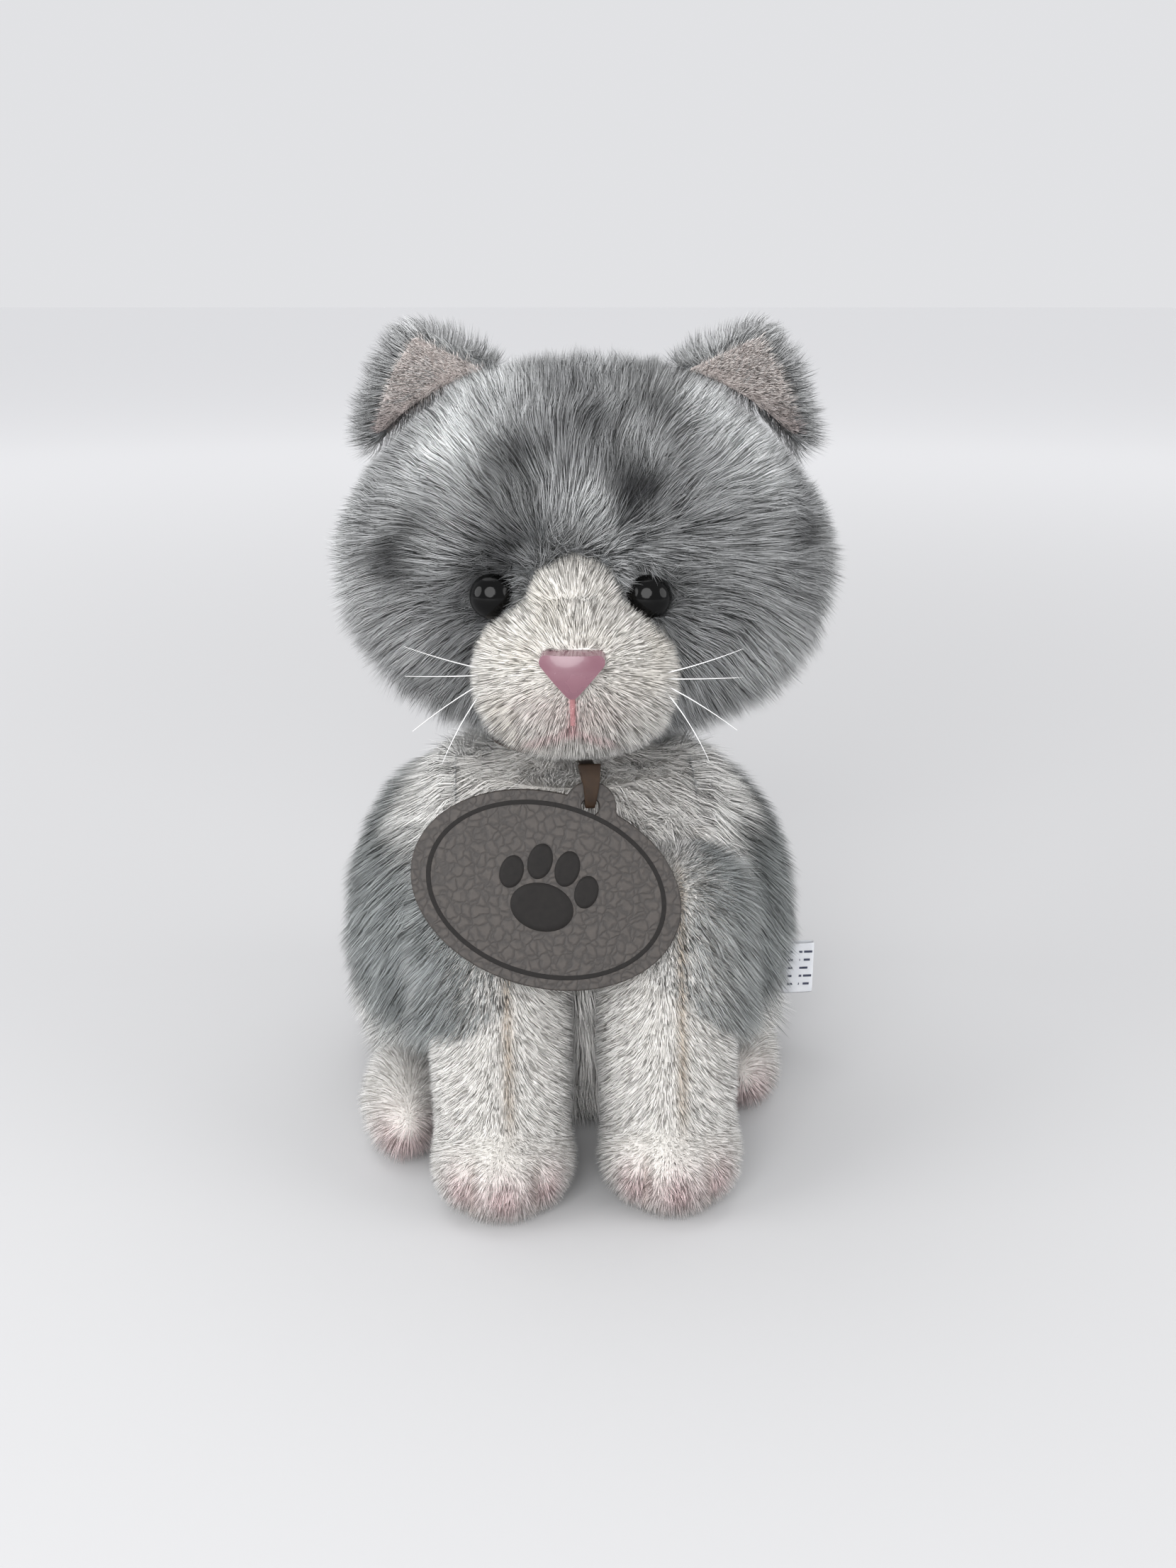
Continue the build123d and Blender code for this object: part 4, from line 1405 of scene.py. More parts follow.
@dataclass
class Head:
    """Head skins, muzzle, face parts and ears."""

    half_height: float = 38.0 * MM
    long_pile: float = 6.5 * MM
    short_pile: float = 3.0 * MM
    whisker: float = 0.13 * MM

    def __post_init__(self) -> None:
        """Find the head's middle and the nose from the frame."""
        lows, highs = zip(*(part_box(node) for node in HEAD_PANELS))
        low, high = np.min(lows, axis=0), np.max(highs, axis=0)
        self.centre = (low + high) / 2
        self.centre[2] = high[2] - self.half_height
        nose_low, nose_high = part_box("nose")
        across, up = (nose_low[0] + nose_high[0]) / 2, (nose_low[2] + nose_high[2]) / 2
        self.nose = np.array((across, nose_low[1], up))

    def middle(self, points: np.ndarray) -> np.ndarray:
        """The head's middle, for each point."""
        return np.repeat(self.centre[None, :], len(points), axis=0)

    def sweep(self, points: np.ndarray) -> np.ndarray:
        """Pile lies away from the nose, up the brow and out over the cheeks, and hangs low down."""
        source = self.nose + np.array((0.0, 0.006, 0.010))
        away = unit(points - source)
        low = smoothstep(self.centre[2] - points[:, 2], -0.01, 0.03)[:, None]
        return unit(away - UP * (0.12 + 0.35 * low))

    def tabby(self, points: np.ndarray) -> np.ndarray:
        """Darker bands on the brow and shade about the eyes."""
        c = self.centre
        bands = (
            ((9.0, -14.0, 28.0), (5.0, 12.0, 6.0), 1.3), ((-14.5, -30.0, 14.5), (4.6, 8.0, 6.0), 1.5),
            ((5.5, -31.0, 13.5), (4.6, 8.0, 6.5), 1.4), ((-34.0, -20.0, 2.5), (5.5, 9.0, 5.0), 1.2),
            ((36.0, -20.0, 6.0), (6.0, 9.0, 4.0), 0.8), ((-11.0, -33.0, 5.0), (8.0, 9.0, 4.0), 0.7),
            ((-9.0, -8.0, 31.0), (5.0, 9.0, 5.0), 0.7), ((24.0, -26.0, 12.0), (7.0, 8.0, 3.0), 0.6),
            ((-27.0, -24.0, 8.0), (8.0, 8.0, 3.0), 0.5), ((-22.0, -26.0, -22.0), (14.0, 12.0, 7.0), 0.5),
            ((0.0, -24.0, 22.0), (6.0, 8.0, 4.0), 0.5),
        )
        total = np.zeros(len(points))
        for place, radii, level in bands:
            total += level * bump(points, tuple(c + np.array(place) * MM), tuple(np.array(radii) * MM))
        for side in Side:
            low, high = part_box(f"{side.word}_eye")
            eye = (np.array(low) + high) / 2
            eye[1] = low[1] + 3 * MM
            above = tuple(eye + np.array((0, 0, 0.5)) * MM)
            total += 0.95 * bump(points, above, (8.5 * MM, 9.0 * MM, 6.5 * MM))
        total += 0.30 * lattice_noise(points, 9 * MM, 77)
        return smoothstep(total, 0.12, 0.80)

    def frosted(self, points: np.ndarray) -> np.ndarray:
        """Silver zones: above the brows, on the crown's sides, and out on the cheeks."""
        c = self.centre
        zones = (
            ((-26.0, -20.0, 22.0), (9.0, 14.0, 9.0), 0.95), ((26.0, -17.0, 18.0), (10.0, 12.0, 8.0), 0.75),
            ((17.0, -14.0, 27.0), (8.0, 12.0, 7.0), 0.55), ((-16.0, -8.0, 31.0), (6.0, 12.0, 7.0), 0.50),
            ((-51.0, 0.0, -8.0), (9.0, 30.0, 22.0), 0.75), ((52.0, 0.0, -6.0), (8.0, 30.0, 20.0), 0.50),
            ((30.0, -32.0, -14.0), (10.0, 9.0, 6.0), 0.40), ((-32.0, -30.0, -16.0), (8.0, 9.0, 7.0), 0.40),
            ((0.0, -4.0, 38.0), (30.0, 16.0, 4.0), 0.40), ((-28.0, 12.0, 48.0), (14.0, 14.0, 8.0), 0.75),
            ((34.0, 12.0, 48.0), (14.0, 14.0, 8.0), 0.75), ((-2.0, -36.0, 11.0), (5.0, 8.0, 4.5), 0.35),
        )
        total = np.zeros(len(points))
        for place, radii, level in zones:
            total += level * bump(points, tuple(c + np.array(place) * MM), tuple(np.array(radii) * MM))
        total += 0.22 * lattice_noise(points, 8 * MM, 78) + 0.10
        return np.clip(total, 0.0, 0.95)

    def short_by_eyes(self, points: np.ndarray) -> np.ndarray:
        """Pile is clipped short about the eyes and along the nose bridge."""
        share = np.ones(len(points))
        for side in Side:
            low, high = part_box(f"{side.word}_eye")
            eye = (np.array(low) + high) / 2
            eye[1] = low[1] + 3 * MM
            share -= 0.62 * bump(points, tuple(eye), (8.0 * MM, 12.0 * MM, 8.0 * MM))
        share -= 0.5 * bump(points, tuple(self.nose + np.array((0, 8, 12)) * MM), (12 * MM, 12 * MM, 14 * MM))
        lift = (points[:, 2] - self.centre[2]) / self.half_height
        aside = smoothstep(np.abs(points[:, 0] - self.centre[0]), 0.015, 0.036)
        share *= 1.0 - 0.55 * np.clip(lift + 0.15, -0.8, 0.9) * aside
        return np.clip(share, 0.25, 1.45)

    def make(self) -> list:
        """Make every piece of the head.

        Returns:
            The pieces.
        """
        pieces = []
        coat = Comb(self.sweep, 11.0 * MM, 13.0e6, lean=0.55, swirl=0.6, width=0.10 * MM,
                    length_share=self.short_by_eyes, mark=self.tabby, blush=self.frosted)
        for n, node in enumerate(HEAD_PANELS):
            pieces += Skin(node, "head", "grey_plush", GREY_BACKING, GREY_FIBRE, coat, self.middle,
                           self.long_pile, 400 + n).make()
        pieces += self._muzzle()
        pieces.append(stuffing("head_stuffing", "head", POLYESTER_FILL))
        pieces.append(stuffing("muzzle_stuffing", "head", POLYESTER_FILL, 1.2 * MM))
        for n, side in enumerate(Side):
            pieces += self._ear(side, 440 + n)
            pieces.append(self._whiskers(side))
        self._fittings()
        return pieces

    def _muzzle(self) -> list:
        """The muzzle's short warm pile, with a rosy line under the nose.

        Returns:
            The pieces.
        """
        low, high = (np.array(corner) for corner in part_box("muzzle_panel"))
        centre = np.array(((low[0] + high[0]) / 2, self.nose[1] + 15 * MM, low[2] + 15 * MM))

        def middle(points: np.ndarray) -> np.ndarray:
            """The muzzle's middle, for each point."""
            return np.repeat(centre[None, :], len(points), axis=0)

        def sweep(points: np.ndarray) -> np.ndarray:
            """Pile lies out from the nose and down."""
            return unit(unit(points - self.nose) - UP * 0.25)

        def rosy(points: np.ndarray) -> np.ndarray:
            """Pink line below the nose and a smudge each side."""
            x, z = points[:, 0] - self.nose[0], points[:, 2] - self.nose[2]
            line = np.exp(-((x / (0.75 * MM)) ** 2)) * smoothstep(-z, 0.001, 0.004)
            line *= smoothstep(z, -0.0125, -0.0095)
            curl = np.exp(-(((z + 10.5 * MM + np.abs(x) * 0.35) / (1.0 * MM)) ** 2))
            curl *= smoothstep(-np.abs(x), -0.009, -0.006)
            lip = tuple(self.nose + np.array((0, 3, -7)) * MM)
            smudge = 0.25 * bump(points, lip, (9 * MM, 9 * MM, 4 * MM))
            return np.clip(0.85 * line + 0.45 * curl + smudge, 0.0, 0.8)

        def jowls(points: np.ndarray) -> np.ndarray:
            """Longer pile at the muzzle's lower corners, shorter about the nose and the mouth."""
            share = np.ones(len(points))
            for way in (-1, 1):
                corner = centre + np.array((way * 13.5, -3.0, -9.0)) * MM
                share += 0.65 * bump(points, tuple(corner), (7 * MM, 12 * MM, 7 * MM))
            lip = tuple(self.nose + np.array((0, 2, -6)) * MM)
            share -= 0.35 * bump(points, lip, (3 * MM, 6 * MM, 8 * MM))
            share -= 0.35 * bump(points, tuple(self.nose), (8 * MM, 5 * MM, 5 * MM))
            return np.clip(share, 0.4, 1.7)

        def buff(points: np.ndarray) -> np.ndarray:
            """Faint buff patches beside the nose."""
            return 0.45 * np.clip(lattice_noise(points, 6 * MM, 51) + 0.1, 0.0, 1.0)

        comb = Comb(sweep, 2.9 * MM, 32.0e6, lean=0.16, width=0.10 * MM, lock=0.9 * MM, gather=0.04,
                    swirl=0.5, length_share=jowls, mark=buff, blush=rosy, droop=0.03)
        return Skin("muzzle_panel", "head", "white_plush", WHITE_BACKING, MUZZLE_FIBRE, comb, middle,
                    self.short_pile, 430, 0.8 * MM, 2.1 * MM).make()

    def _ear(self, side: Side, seed: int) -> list:
        """One ear: a grey back and a pale lining.

        Args:
            side: Which ear.
            seed: Chooses the scatter of its pile.

        Returns:
            The pieces.
        """
        body = f"{side.word}_ear"
        low, high = (np.array(corner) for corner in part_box(f"{side.word}_ear_back"))
        heart = (low + high) / 2
        lining_low, lining_high = (np.array(corner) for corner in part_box(f"{side.word}_ear_lining"))

        def up_and_out(points: np.ndarray) -> np.ndarray:
            """Pile lies from the head to the ear's rim."""
            return unit(points - self.centre)

        def behind(points: np.ndarray) -> np.ndarray:
            """Inside of the back layer: its middle plane, drawn in a little."""
            flat = points + (heart - points) * np.array((0.10, 1.0, 0.10))
            return flat

        def before(points: np.ndarray) -> np.ndarray:
            """Inside of the lining: a plane well behind it."""
            return points * np.array((1.0, 0.0, 1.0)) + np.array((0.0, lining_high[1] + 8 * MM, 0.0))

        def shade(points: np.ndarray) -> np.ndarray:
            """Painted shade: the lining darkens towards the head."""
            level = (points[:, 2] - lining_low[2]) / (lining_high[2] - lining_low[2])
            return 0.85 * smoothstep(-level, -0.40, -0.02)

        def rim(points: np.ndarray) -> np.ndarray:
            """Pile is clipped shorter at the ear's tip and on its front edge."""
            front = smoothstep(-points[:, 1], -heart[1], -low[1])
            return (1.0 - 0.25 * smoothstep(points[:, 2], high[2] - 12 * MM, high[2])) * (1.0 - 0.4 * front)

        tree = kdtree.KDTree(len(frame["nodes"][f"{side.word}_ear_lining"].data.vertices))
        for n, vertex in enumerate(frame["nodes"][f"{side.word}_ear_lining"].data.vertices):
            tree.insert(vertex.co, n)
        tree.balance()

        def rounded(points: np.ndarray) -> np.ndarray:
            """The ear's tip drawn down into a rounder top."""
            start = high[2] - EAR_TIP_DEPTH
            return points - UP * (EAR_TIP_DROP * np.maximum(points[:, 2:] - start, 0.0))

        def clear_of_lining(points: np.ndarray) -> np.ndarray:
            """Above 0 except under the lining."""
            outline = np.array([lining_low, lining_high])
            inner = (outline[0] + outline[1]) / 2
            drawn = inner + (points - inner) * 1.10
            start = high[2] - EAR_TIP_DEPTH
            drawn[:, 2] += np.maximum(drawn[:, 2] - start, 0.0) * EAR_TIP_DROP / EAR_TIP_KEPT
            gaps = np.array([tree.find(Vector((p[0], lining_high[1], p[2])))[2] for p in drawn])
            behind_lining = (gaps < 1.2 * MM) & (points[:, 1] < heart[1])
            return np.where(behind_lining, -1.0, 1.0)

        coat = Comb(up_and_out, 7.0 * MM, 12.0e6, lean=0.5, blush=self.frosted, length_share=rim,
                    limit=clear_of_lining)
        lining = Comb(up_and_out, 3.0 * MM, 26.0e6, lean=0.25, width=0.10 * MM, lock=1.2 * MM, gather=0.10,
                      mark=shade)
        pieces = Skin(f"{side.word}_ear_back", body, "grey_plush", GREY_BACKING, GREY_FIBRE, coat, behind,
                      2.2 * MM, seed, 0.7 * MM, 1.0 * MM, rounded).make()
        pieces += Skin(f"{side.word}_ear_lining", body, "ear_lining_plush", LINING_BACKING, LINING_FIBRE, lining,
                       before, 1.8 * MM, seed + 10, 0.5 * MM, 1.0 * MM, rounded).make()
        return pieces

    def _fittings(self) -> None:
        """Dress the moulded and nylon parts, which keep their shapes."""
        finishes = {
            "left_eye": EYE_PLASTIC, "right_eye": EYE_PLASTIC, "nose": NOSE_PLASTIC, "nose_washer": WASHER_PLASTIC,
            "left_eye_washer": WASHER_PLASTIC, "right_eye_washer": WASHER_PLASTIC,
            "mouth_stitch": THREAD_PINK,
        }
        for node, finish in finishes.items():
            carried_over(node, finish.material())

    def _whiskers(self, side: Side):
        """Fine nylon whiskers that curve out of the muzzle.

        Args:
            side: Which side of the muzzle.

        Returns:
            The piece.
        """
        node = f"{side.word}_whiskers"
        low, high = (np.array(corner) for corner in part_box(node))
        inner, outer = (low[0], high[0]) if side is Side.LEFT else (high[0], low[0])
        middle = (low + high) / 2
        root = np.array((inner - side.value * 1.0 * MM, middle[1] + 0.8 * MM, middle[2]))
        ends = (
            ((1.0, -0.30, 0.30), (0.4, 0.4, 1.2)), ((0.97, -0.38, 0.05), (0.2, 0.6, 0.5)),
            ((0.85, -0.45, -0.35), (0.6, 0.2, -2.2)), ((0.60, -0.50, -0.62), (-1.0, 0.6, -3.0)),
        )
        build = bmesh.new()
        for n, (heading, bend) in enumerate(ends):
            ahead = unit(np.array(heading) * np.array((side.value, 1, 1))) * abs(outer - inner)
            start = root + np.array((0.0, 0.3 * (n % 2), 1.6 - 1.1 * n)) * MM
            sag = np.array(bend) * np.array((side.value, 1, 1)) * MM
            rings = []
            for t in np.linspace(0, 1, 12):
                middle = start + ahead * t + sag * t * t
                radius = self.whisker * (1.0 - 0.75 * t)
                across = unit(np.cross(ahead, UP))
                up = unit(np.cross(across, ahead))
                rings.append([build.verts.new(middle + (across * math.cos(a) + up * math.sin(a)) * radius)
                              for a in np.linspace(0, 2 * math.pi, 6, endpoint=False)])
            for one, two in zip(rings[:-1], rings[1:]):
                for k in range(6):
                    build.faces.new((one[k], one[(k + 1) % 6], two[(k + 1) % 6], two[k]))
            build.faces.new(rings[-1])
            build.faces.new(list(reversed(rings[0])))
        piece = from_bmesh(f"{node}_nylon", build)
        dress(piece, WHISKER_NYLON.material(), "head")
        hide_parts(node)
        return piece


def carried_over(node: str, material) -> None:
    """Give a CAD node that keeps its shape a better material."""
    mesh = frame["nodes"][node].data
    mesh.materials.clear()
    mesh.materials.append(material)


@dataclass
class Trim:
    """Neck filling, seam thread, ribbons, swing tag and care label."""

    ribbon_width: float = 3.0 * MM
    ribbon_thickness: float = 0.5 * MM
    tag_half: tuple[float, float] = (26.3 * MM, 18.6 * MM)
    tag_thickness: float = 1.6 * MM
    tag_tilt: float = math.radians(-17.0)
    tag_centre: tuple[float, float] = (-8.7 * MM, -15.6 * MM)
    tab_radius: float = 5.0 * MM
    hole_radius: float = 1.7 * MM

    def __post_init__(self) -> None:
        """Find the tag's own axes from its hinge."""
        joint = frame_joint("tag_spin")
        self.hole = np.array(joint["pos_m"], float)
        self.x = np.array((1.0, 0.0, 0.0))
        self.z = unit(np.array(joint["axis"], float))
        self.y = np.cross(self.z, self.x)

    def place(self, x: float, y: float, z: float) -> np.ndarray:
        """A point given in the tag's own plane."""
        return self.hole + self.x * x + self.y * y + self.z * z

    def make(self) -> list:
        """Make every piece of the trim.

        Returns:
            The pieces.
        """
        pieces = [stuffing("neck_stuffing", "neck", POLYESTER_FILL, 1.2 * MM)]
        carried_over("neck_seam_thread", THREAD_WHITE.material())
        pieces += self._neck_ribbon() + self._tag_ribbon() + self._tag() + self._care_label()
        return pieces

    def _neck_ribbon(self) -> list:
        """The ribbon round the neck, and its lead to the tag.

        Returns:
            The pieces.
        """
        low, high = (np.array(corner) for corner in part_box("neck_ribbon"))
        radius = (high[0] - low[0]) / 2 - self.ribbon_width / 2
        back = high[1] - radius - self.ribbon_width / 2
        centre = np.array(((low[0] + high[0]) / 2, back, low[2] + 0.4 * MM))
        turns = np.linspace(0, 2 * math.pi, 64, endpoint=False)
        round_neck = np.stack((np.cos(turns), np.sin(turns), 0 * turns), axis=1)
        loop = strip("neck_ribbon_loop", centre + round_neck * radius, round_neck,
                     np.full(64, self.ribbon_width), self.ribbon_thickness, closed=True)
        knot = np.array(frame_joint("tag_lift")["pos_m"], float)
        start = centre + np.array((knot[0] - centre[0], -radius, 0.3 * MM))
        end = start + (knot - start) * (1.0 - 3.6 * MM / np.linalg.norm(knot - start))
        path = start + (end - start) * np.linspace(0, 1, 14)[:, None]
        lead = strip("neck_ribbon_lead", path, np.tile(self.x, (14, 1)), np.full(14, self.ribbon_width),
                     self.ribbon_thickness)
        for piece in (loop, lead):
            dress(piece, RIBBON_SATIN.material(), "torso")
        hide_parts("neck_ribbon")
        return [loop, lead]

    def _tag_ribbon(self) -> list:
        """The ribbon that is folded through the tag's hole.

        Returns:
            The piece.
        """
        corners = [(0.0, 8.2, 0.9), (0.2, 5.0, 1.5), (0.1, 2.2, 1.55), (0.0, 0.6, 1.15), (0.0, 0.0, 0.0),
                   (0.0, 0.6, -1.15), (0.1, 2.2, -1.55), (0.2, 5.0, -1.5), (0.0, 8.2, -0.9)]
        local = smooth_path(corners)
        path = np.array([self.place(*(row * MM)) for row in local])
        open_share = np.clip(local[:, 1] / 8.0, 0.0, 1.0)
        widths = (1.9 + 2.4 * open_share) * MM
        piece = strip("tag_ribbon_fold", path, np.tile(self.x, (len(path), 1)), widths, self.ribbon_thickness)
        dress(piece, RIBBON_SATIN.material(), "ribbon_fold")
        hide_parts("tag_ribbon")
        return [piece]

    def _outline(self, inset: float, sides: int = 160) -> np.ndarray:
        """The tag's edge, with its tab, in the tag's own plane.

        Args:
            inset: How far inside the edge, in metres.
            sides: Number of points.

        Returns:
            The points, counted round from the tag's own middle.
        """
        turns = np.linspace(0, 2 * math.pi, sides, endpoint=False)
        heading = np.stack((np.cos(turns), np.sin(turns)), axis=1)
        a, b = (half - inset for half in self.tag_half)
        c, s = math.cos(self.tag_tilt), math.sin(self.tag_tilt)
        local = heading @ np.array(((c, -s), (s, c)))
        reach = 1.0 / np.sqrt((local[:, 0] / a) ** 2 + (local[:, 1] / b) ** 2)
        to_tab = -np.array(self.tag_centre)
        along = heading @ to_tab
        off = (to_tab @ to_tab) - along**2
        tab = self.tab_radius - inset
        hit = (off < tab**2) & (along > 0)
        reach = np.where(hit, np.maximum(reach, along + np.sqrt(np.maximum(tab**2 - off, 0.0))), reach)
        return np.array(self.tag_centre) + heading * reach[:, None]

    def _tag(self) -> list:
        """The oval tag: card with rounded edges, a sunk ring and a paw.

        Returns:
            The pieces.
        """
        half, sides = self.tag_thickness / 2, 160
        near = half * 0.6
        layers = ((0.9, -half), (0.25, -half), (0.0, -near), (0.0, near), (0.25, half), (0.9, half))
        build = bmesh.new()
        rings = []
        for inset, z in layers:
            outline = self._outline(inset * MM, sides)
            rings.append([build.verts.new(self.place(p[0], p[1], z)) for p in outline])
        turns = np.linspace(0, 2 * math.pi, 32, endpoint=False)
        bore = [[build.verts.new(self.place(r * math.cos(t), r * math.sin(t), z)) for t in turns]
                for r, z in ((self.hole_radius + 0.2 * MM, half), (self.hole_radius, near),
                             (self.hole_radius, -near), (self.hole_radius + 0.2 * MM, -half))]
        for group in (rings, bore):
            for one, two in zip(group[:-1], group[1:]):
                for k in range(len(one)):
                    build.faces.new((one[k], one[(k + 1) % len(one)], two[(k + 1) % len(one)], two[k]))
        for outer, inner in ((rings[-1], bore[0]), (rings[0], bore[-1])):
            build.verts.index_update()
            edges = [build.edges.get((loop[k], loop[(k + 1) % len(loop)]))
                     for loop in (outer, inner) for k in range(len(loop))]
            bmesh.ops.triangle_fill(build, use_beauty=True, use_dissolve=False, edges=edges)
        card = from_bmesh("swing_tag_card", build, smooth=False)
        dress(card, TAG_CARD.material(), "tag")
        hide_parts("swing_tag")
        turn = np.linspace(0, 2 * math.pi, 120, endpoint=False)
        ring_points = [self._oval(0.87, t, half + 0.02 * MM) for t in turn]
        ring_across = unit(np.array([self._oval(0.9, t, half) - self._oval(0.84, t, half) for t in turn]))
        widths = np.full(len(turn), 0.9 * MM)
        ring = strip("swing_tag_ring", np.array(ring_points), ring_across, widths, 0.12 * MM, closed=True)
        dress(ring, TAG_DARK_LINES.material(), "tag")
        motif = self._paw_motif(half)
        dress(motif, TAG_DARK_LINES.material(), "tag")
        return [card, ring, motif]

    def _oval(self, share: float, turn: float, z: float) -> np.ndarray:
        """A point on an oval inside the tag's edge.

        Args:
            share: The oval's size as a share of the tag's.
            turn: Angle round it.
            z: Height over the tag's middle plane.

        Returns:
            The point in space.
        """
        u, v = self.tag_half[0] * share * math.cos(turn), self.tag_half[1] * share * math.sin(turn)
        c, s = math.cos(self.tag_tilt), math.sin(self.tag_tilt)
        return self.place(self.tag_centre[0] + u * c - v * s, self.tag_centre[1] + u * s + v * c, z)

    def _paw_motif(self, half: float):
        """A plain paw print pressed on the tag: a pad and four toes.

        Args:
            half: Half of the card's thickness.

        Returns:
            The piece.
        """
        pads = ((0.0, -3.4, 6.2, 4.6), (-7.4, 1.6, 2.3, 3.2), (-2.7, 4.9, 2.4, 3.5),
                (2.7, 4.9, 2.4, 3.5), (7.4, 1.6, 2.3, 3.2))
        build = bmesh.new()
        c, s = math.cos(self.tag_tilt), math.sin(self.tag_tilt)
        for cx, cy, rx, ry in pads:
            rings = []
            for share, z in ((1.0, half - 0.05 * MM), (0.97, half + 0.10 * MM), (0.75, half + 0.16 * MM)):
                ring = []
                for t in np.linspace(0, 2 * math.pi, 40, endpoint=False):
                    u, v = cx + rx * share * math.cos(t), cy + ry * share * math.sin(t)
                    x = self.tag_centre[0] + (u * c - v * s) * MM
                    y = self.tag_centre[1] + (u * s + v * c) * MM
                    ring.append(build.verts.new(self.place(x, y, z)))
                rings.append(ring)
            for one, two in zip(rings[:-1], rings[1:]):
                for k in range(40):
                    build.faces.new((one[k], one[(k + 1) % 40], two[(k + 1) % 40], two[k]))
            build.faces.new(rings[-1])
            build.faces.new(list(reversed(rings[0])))
        return from_bmesh("swing_tag_paw", build)

    def _care_label(self) -> list:
        """The folded satin label in the side seam, with printed bars.

        Returns:
            The pieces.
        """
        low, high = (np.array(corner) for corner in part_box("care_label"))
        z, height = (low[2] + high[2]) / 2, high[2] - low[2]
        front, back = low[1] + 0.35 * MM, high[1] - 0.35 * MM
        inner, outer = low[0] + 0.2 * MM, high[0] - 0.6 * MM
        corners = [(inner, front, z), ((inner + outer) / 2, front - 0.2 * MM, z), (outer, front + 0.1 * MM, z),
                   (outer + 0.5 * MM, (front + back) / 2, z), (outer, back - 0.1 * MM, z),
                   ((inner + outer) / 2, back + 0.1 * MM, z), (inner, back, z)]
        path = smooth_path(corners)
        count = len(path)
        label = strip("care_label_cloth", path, np.tile(UP, (count, 1)), np.full(count, height), 0.22 * MM)
        dress(label, LABEL_SATIN.material(), "label")
        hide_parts("care_label")
        build = bmesh.new()
        for row in range(5):
            for word in range(3):
                span = (1.0 + 0.5 * ((row * 2 + word) % 3)) * MM
                start = inner + (1.5 + 1.9 * word) * MM
                level = high[2] - (2.2 + 2.1 * row) * MM
                at = Matrix.Translation(Vector((start + span / 2, front - 0.26 * MM, level)))
                dash = Matrix.Diagonal(Vector((span, 0.06 * MM, 0.55 * MM, 1.0)))
                bmesh.ops.create_cube(build, size=1.0, matrix=at @ dash)
        bars = from_bmesh("care_label_bars", build, smooth=False)
        dress(bars, LABEL_INK.material(), "label")
        return [label, bars]


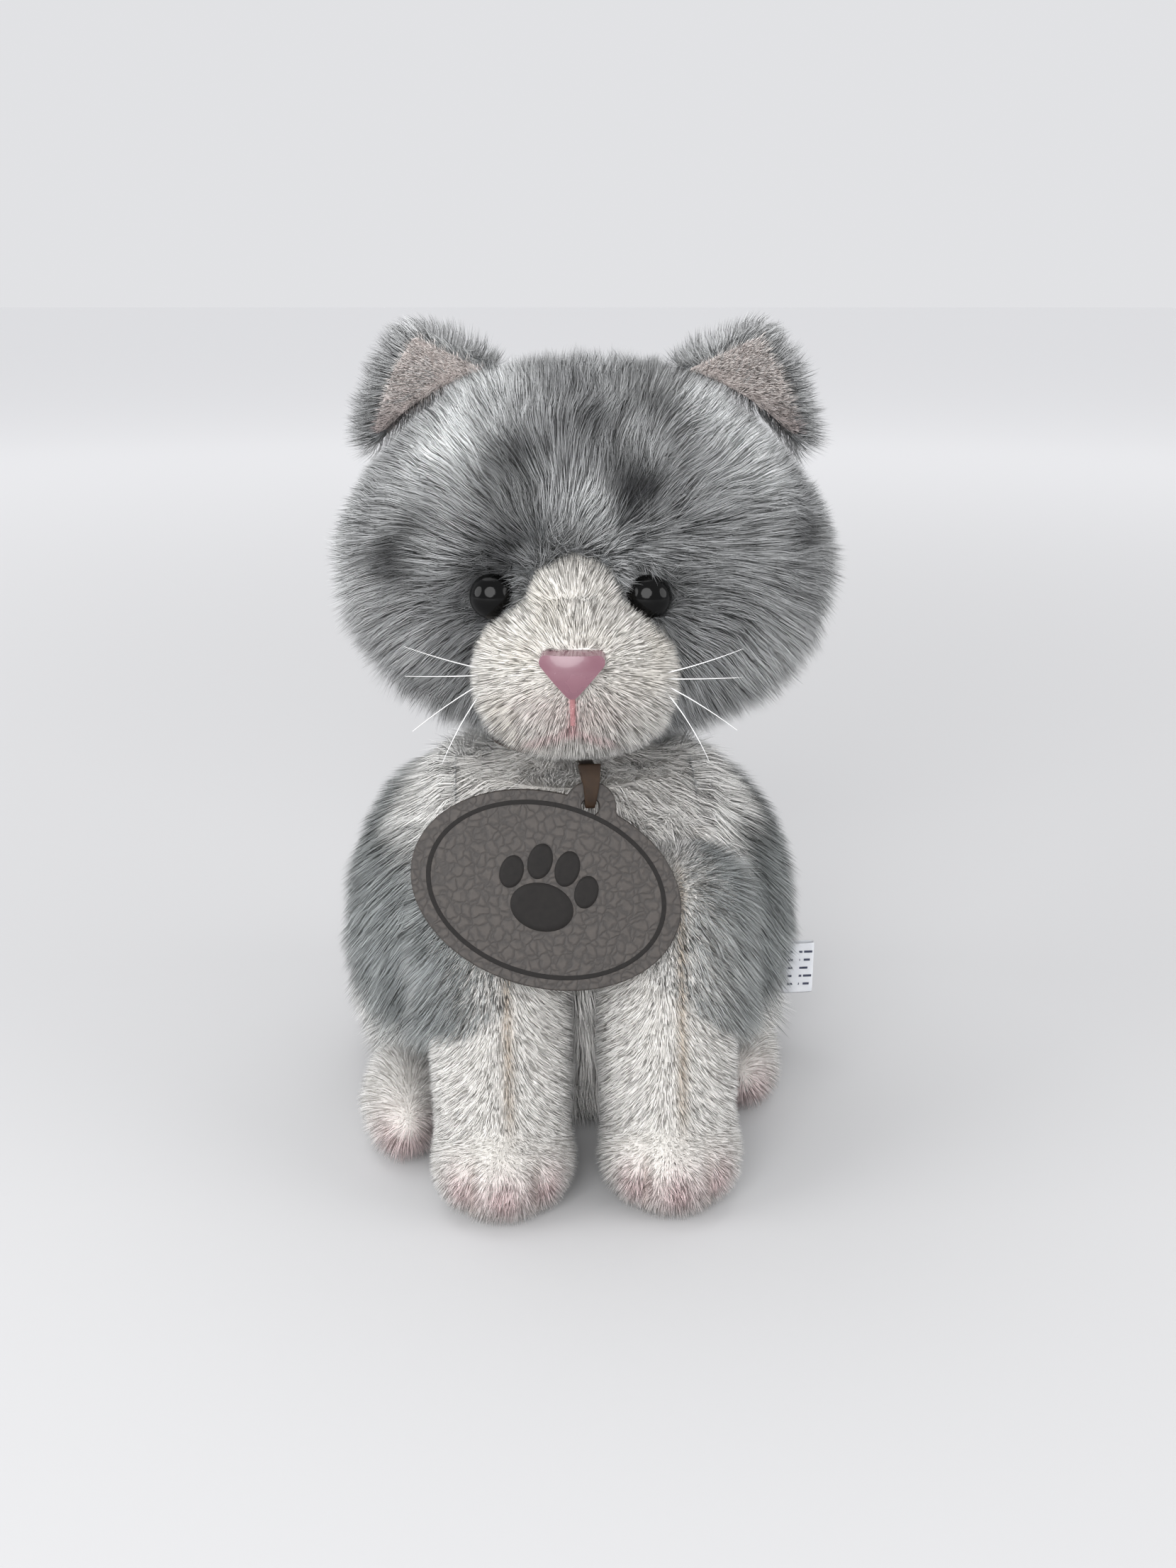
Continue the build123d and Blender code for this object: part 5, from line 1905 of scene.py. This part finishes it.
@dataclass
class Studio:
    """Pale floor, soft light and the camera."""

    azimuth: float = math.radians(-4.0)
    elevation: float = math.radians(18.0)
    distance: float = 0.290
    target: Point = (0.001, -0.045, 0.084)
    lens: float = 34.18
    floor_colour: Colour = (0.46, 0.46, 0.465)
    far_colour: Colour = (0.96, 0.96, 0.965)
    floor_radius: float = 40.0
    fade: tuple[float, float] = (0.15, 1.7)

    def make(self) -> None:
        """Make the floor, the lights, the world and the camera."""
        self._floor()
        self._lights()
        self._camera()

    def _floor(self) -> None:
        """A wide floor whose tone lightens where the lamps no longer reach."""
        build = bmesh.new()
        turns = np.linspace(0, 2 * math.pi, 96, endpoint=False)
        radius = self.floor_radius
        build.faces.new([build.verts.new((radius * math.cos(t), radius * math.sin(t), 0.0)) for t in turns])
        floor = from_bmesh("studio_floor", build)
        material, tree, shader = new_material("studio_paper")
        place, reach = tree.nodes.new("ShaderNodeTexCoord"), tree.nodes.new("ShaderNodeVectorMath")
        fade, tone = tree.nodes.new("ShaderNodeMapRange"), tree.nodes.new("ShaderNodeMix")
        reach.operation = "LENGTH"
        fade.interpolation_type = "SMOOTHSTEP"
        fade.inputs["From Min"].default_value, fade.inputs["From Max"].default_value = self.fade
        tone.data_type = "RGBA"
        tone.inputs["A"].default_value = opaque(self.floor_colour)
        tone.inputs["B"].default_value = opaque(self.far_colour)
        tree.links.new(place.outputs["Object"], reach.inputs[0])
        tree.links.new(reach.outputs["Value"], fade.inputs["Value"])
        tree.links.new(fade.outputs[0], tone.inputs["Factor"])
        tree.links.new(tone.outputs["Result"], shader.inputs["Base Color"])
        shader.inputs["Roughness"].default_value = 0.9
        shader.inputs["Specular IOR Level"].default_value = 0.1
        floor.data.materials.append(material)

    def _lights(self) -> None:
        """Soft boxes above, in front and at the sides, in a pale room."""
        boxes = (
            ("front_box", (-0.25, -0.95, 0.50), 0.8, 11.0), ("top_box", (-0.1, 0.25, 1.05), 1.0, 4.5),
            ("right_box", (0.9, -0.45, 0.40), 0.7, 4.6), ("left_box", (-0.95, -0.3, 0.40), 0.7, 5.6),
        )
        for name, place, size, power in boxes:
            light = bpy.data.lights.new(name, "AREA")
            light.shape = "DISK"
            light.size = size
            light.energy = power
            lamp = bpy.data.objects.new(name, light)
            lamp.location = place
            lamp.rotation_euler = (Vector((0, 0, 0.08)) - Vector(place)).to_track_quat("-Z", "Y").to_euler()
            bpy.context.scene.collection.objects.link(lamp)
        world = bpy.data.worlds.new("pale_room")
        world.use_nodes = True
        world.node_tree.nodes["Background"].inputs["Color"].default_value = (0.97, 0.975, 1.0, 1.0)
        world.node_tree.nodes["Background"].inputs["Strength"].default_value = 0.78
        bpy.context.scene.world = world
        bpy.context.scene.view_settings.view_transform = "Standard"

    def _camera(self) -> None:
        """The camera, a little above the cat and to its right."""
        data = bpy.data.cameras.new("camera")
        data.sensor_width = 36.0
        data.lens = self.lens
        data.clip_start = 0.01
        camera = bpy.data.objects.new("camera", data)
        around, over = self.azimuth, self.elevation
        back = Vector((math.sin(around) * math.cos(over), -math.cos(around) * math.cos(over), math.sin(over)))
        camera.location = Vector(self.target) + back * self.distance
        camera.rotation_euler = (-back).to_track_quat("-Z", "Y").to_euler()
        bpy.context.scene.collection.objects.link(camera)
        bpy.context.scene.camera = camera


def main() -> None:
    """Build every sub-assembly in order and report its pieces."""
    logging.basicConfig(level=logging.INFO, format="%(message)s")
    Studio().make()
    builders = [Torso(), *(Foreleg(side) for side in Side), Tail(), Head(), Trim()]
    for builder in builders:
        for piece in builder.make():
            LOG.info("%s: %d faces", piece.name, len(piece.data.polygons))


if __name__ == "__main__":
    main()
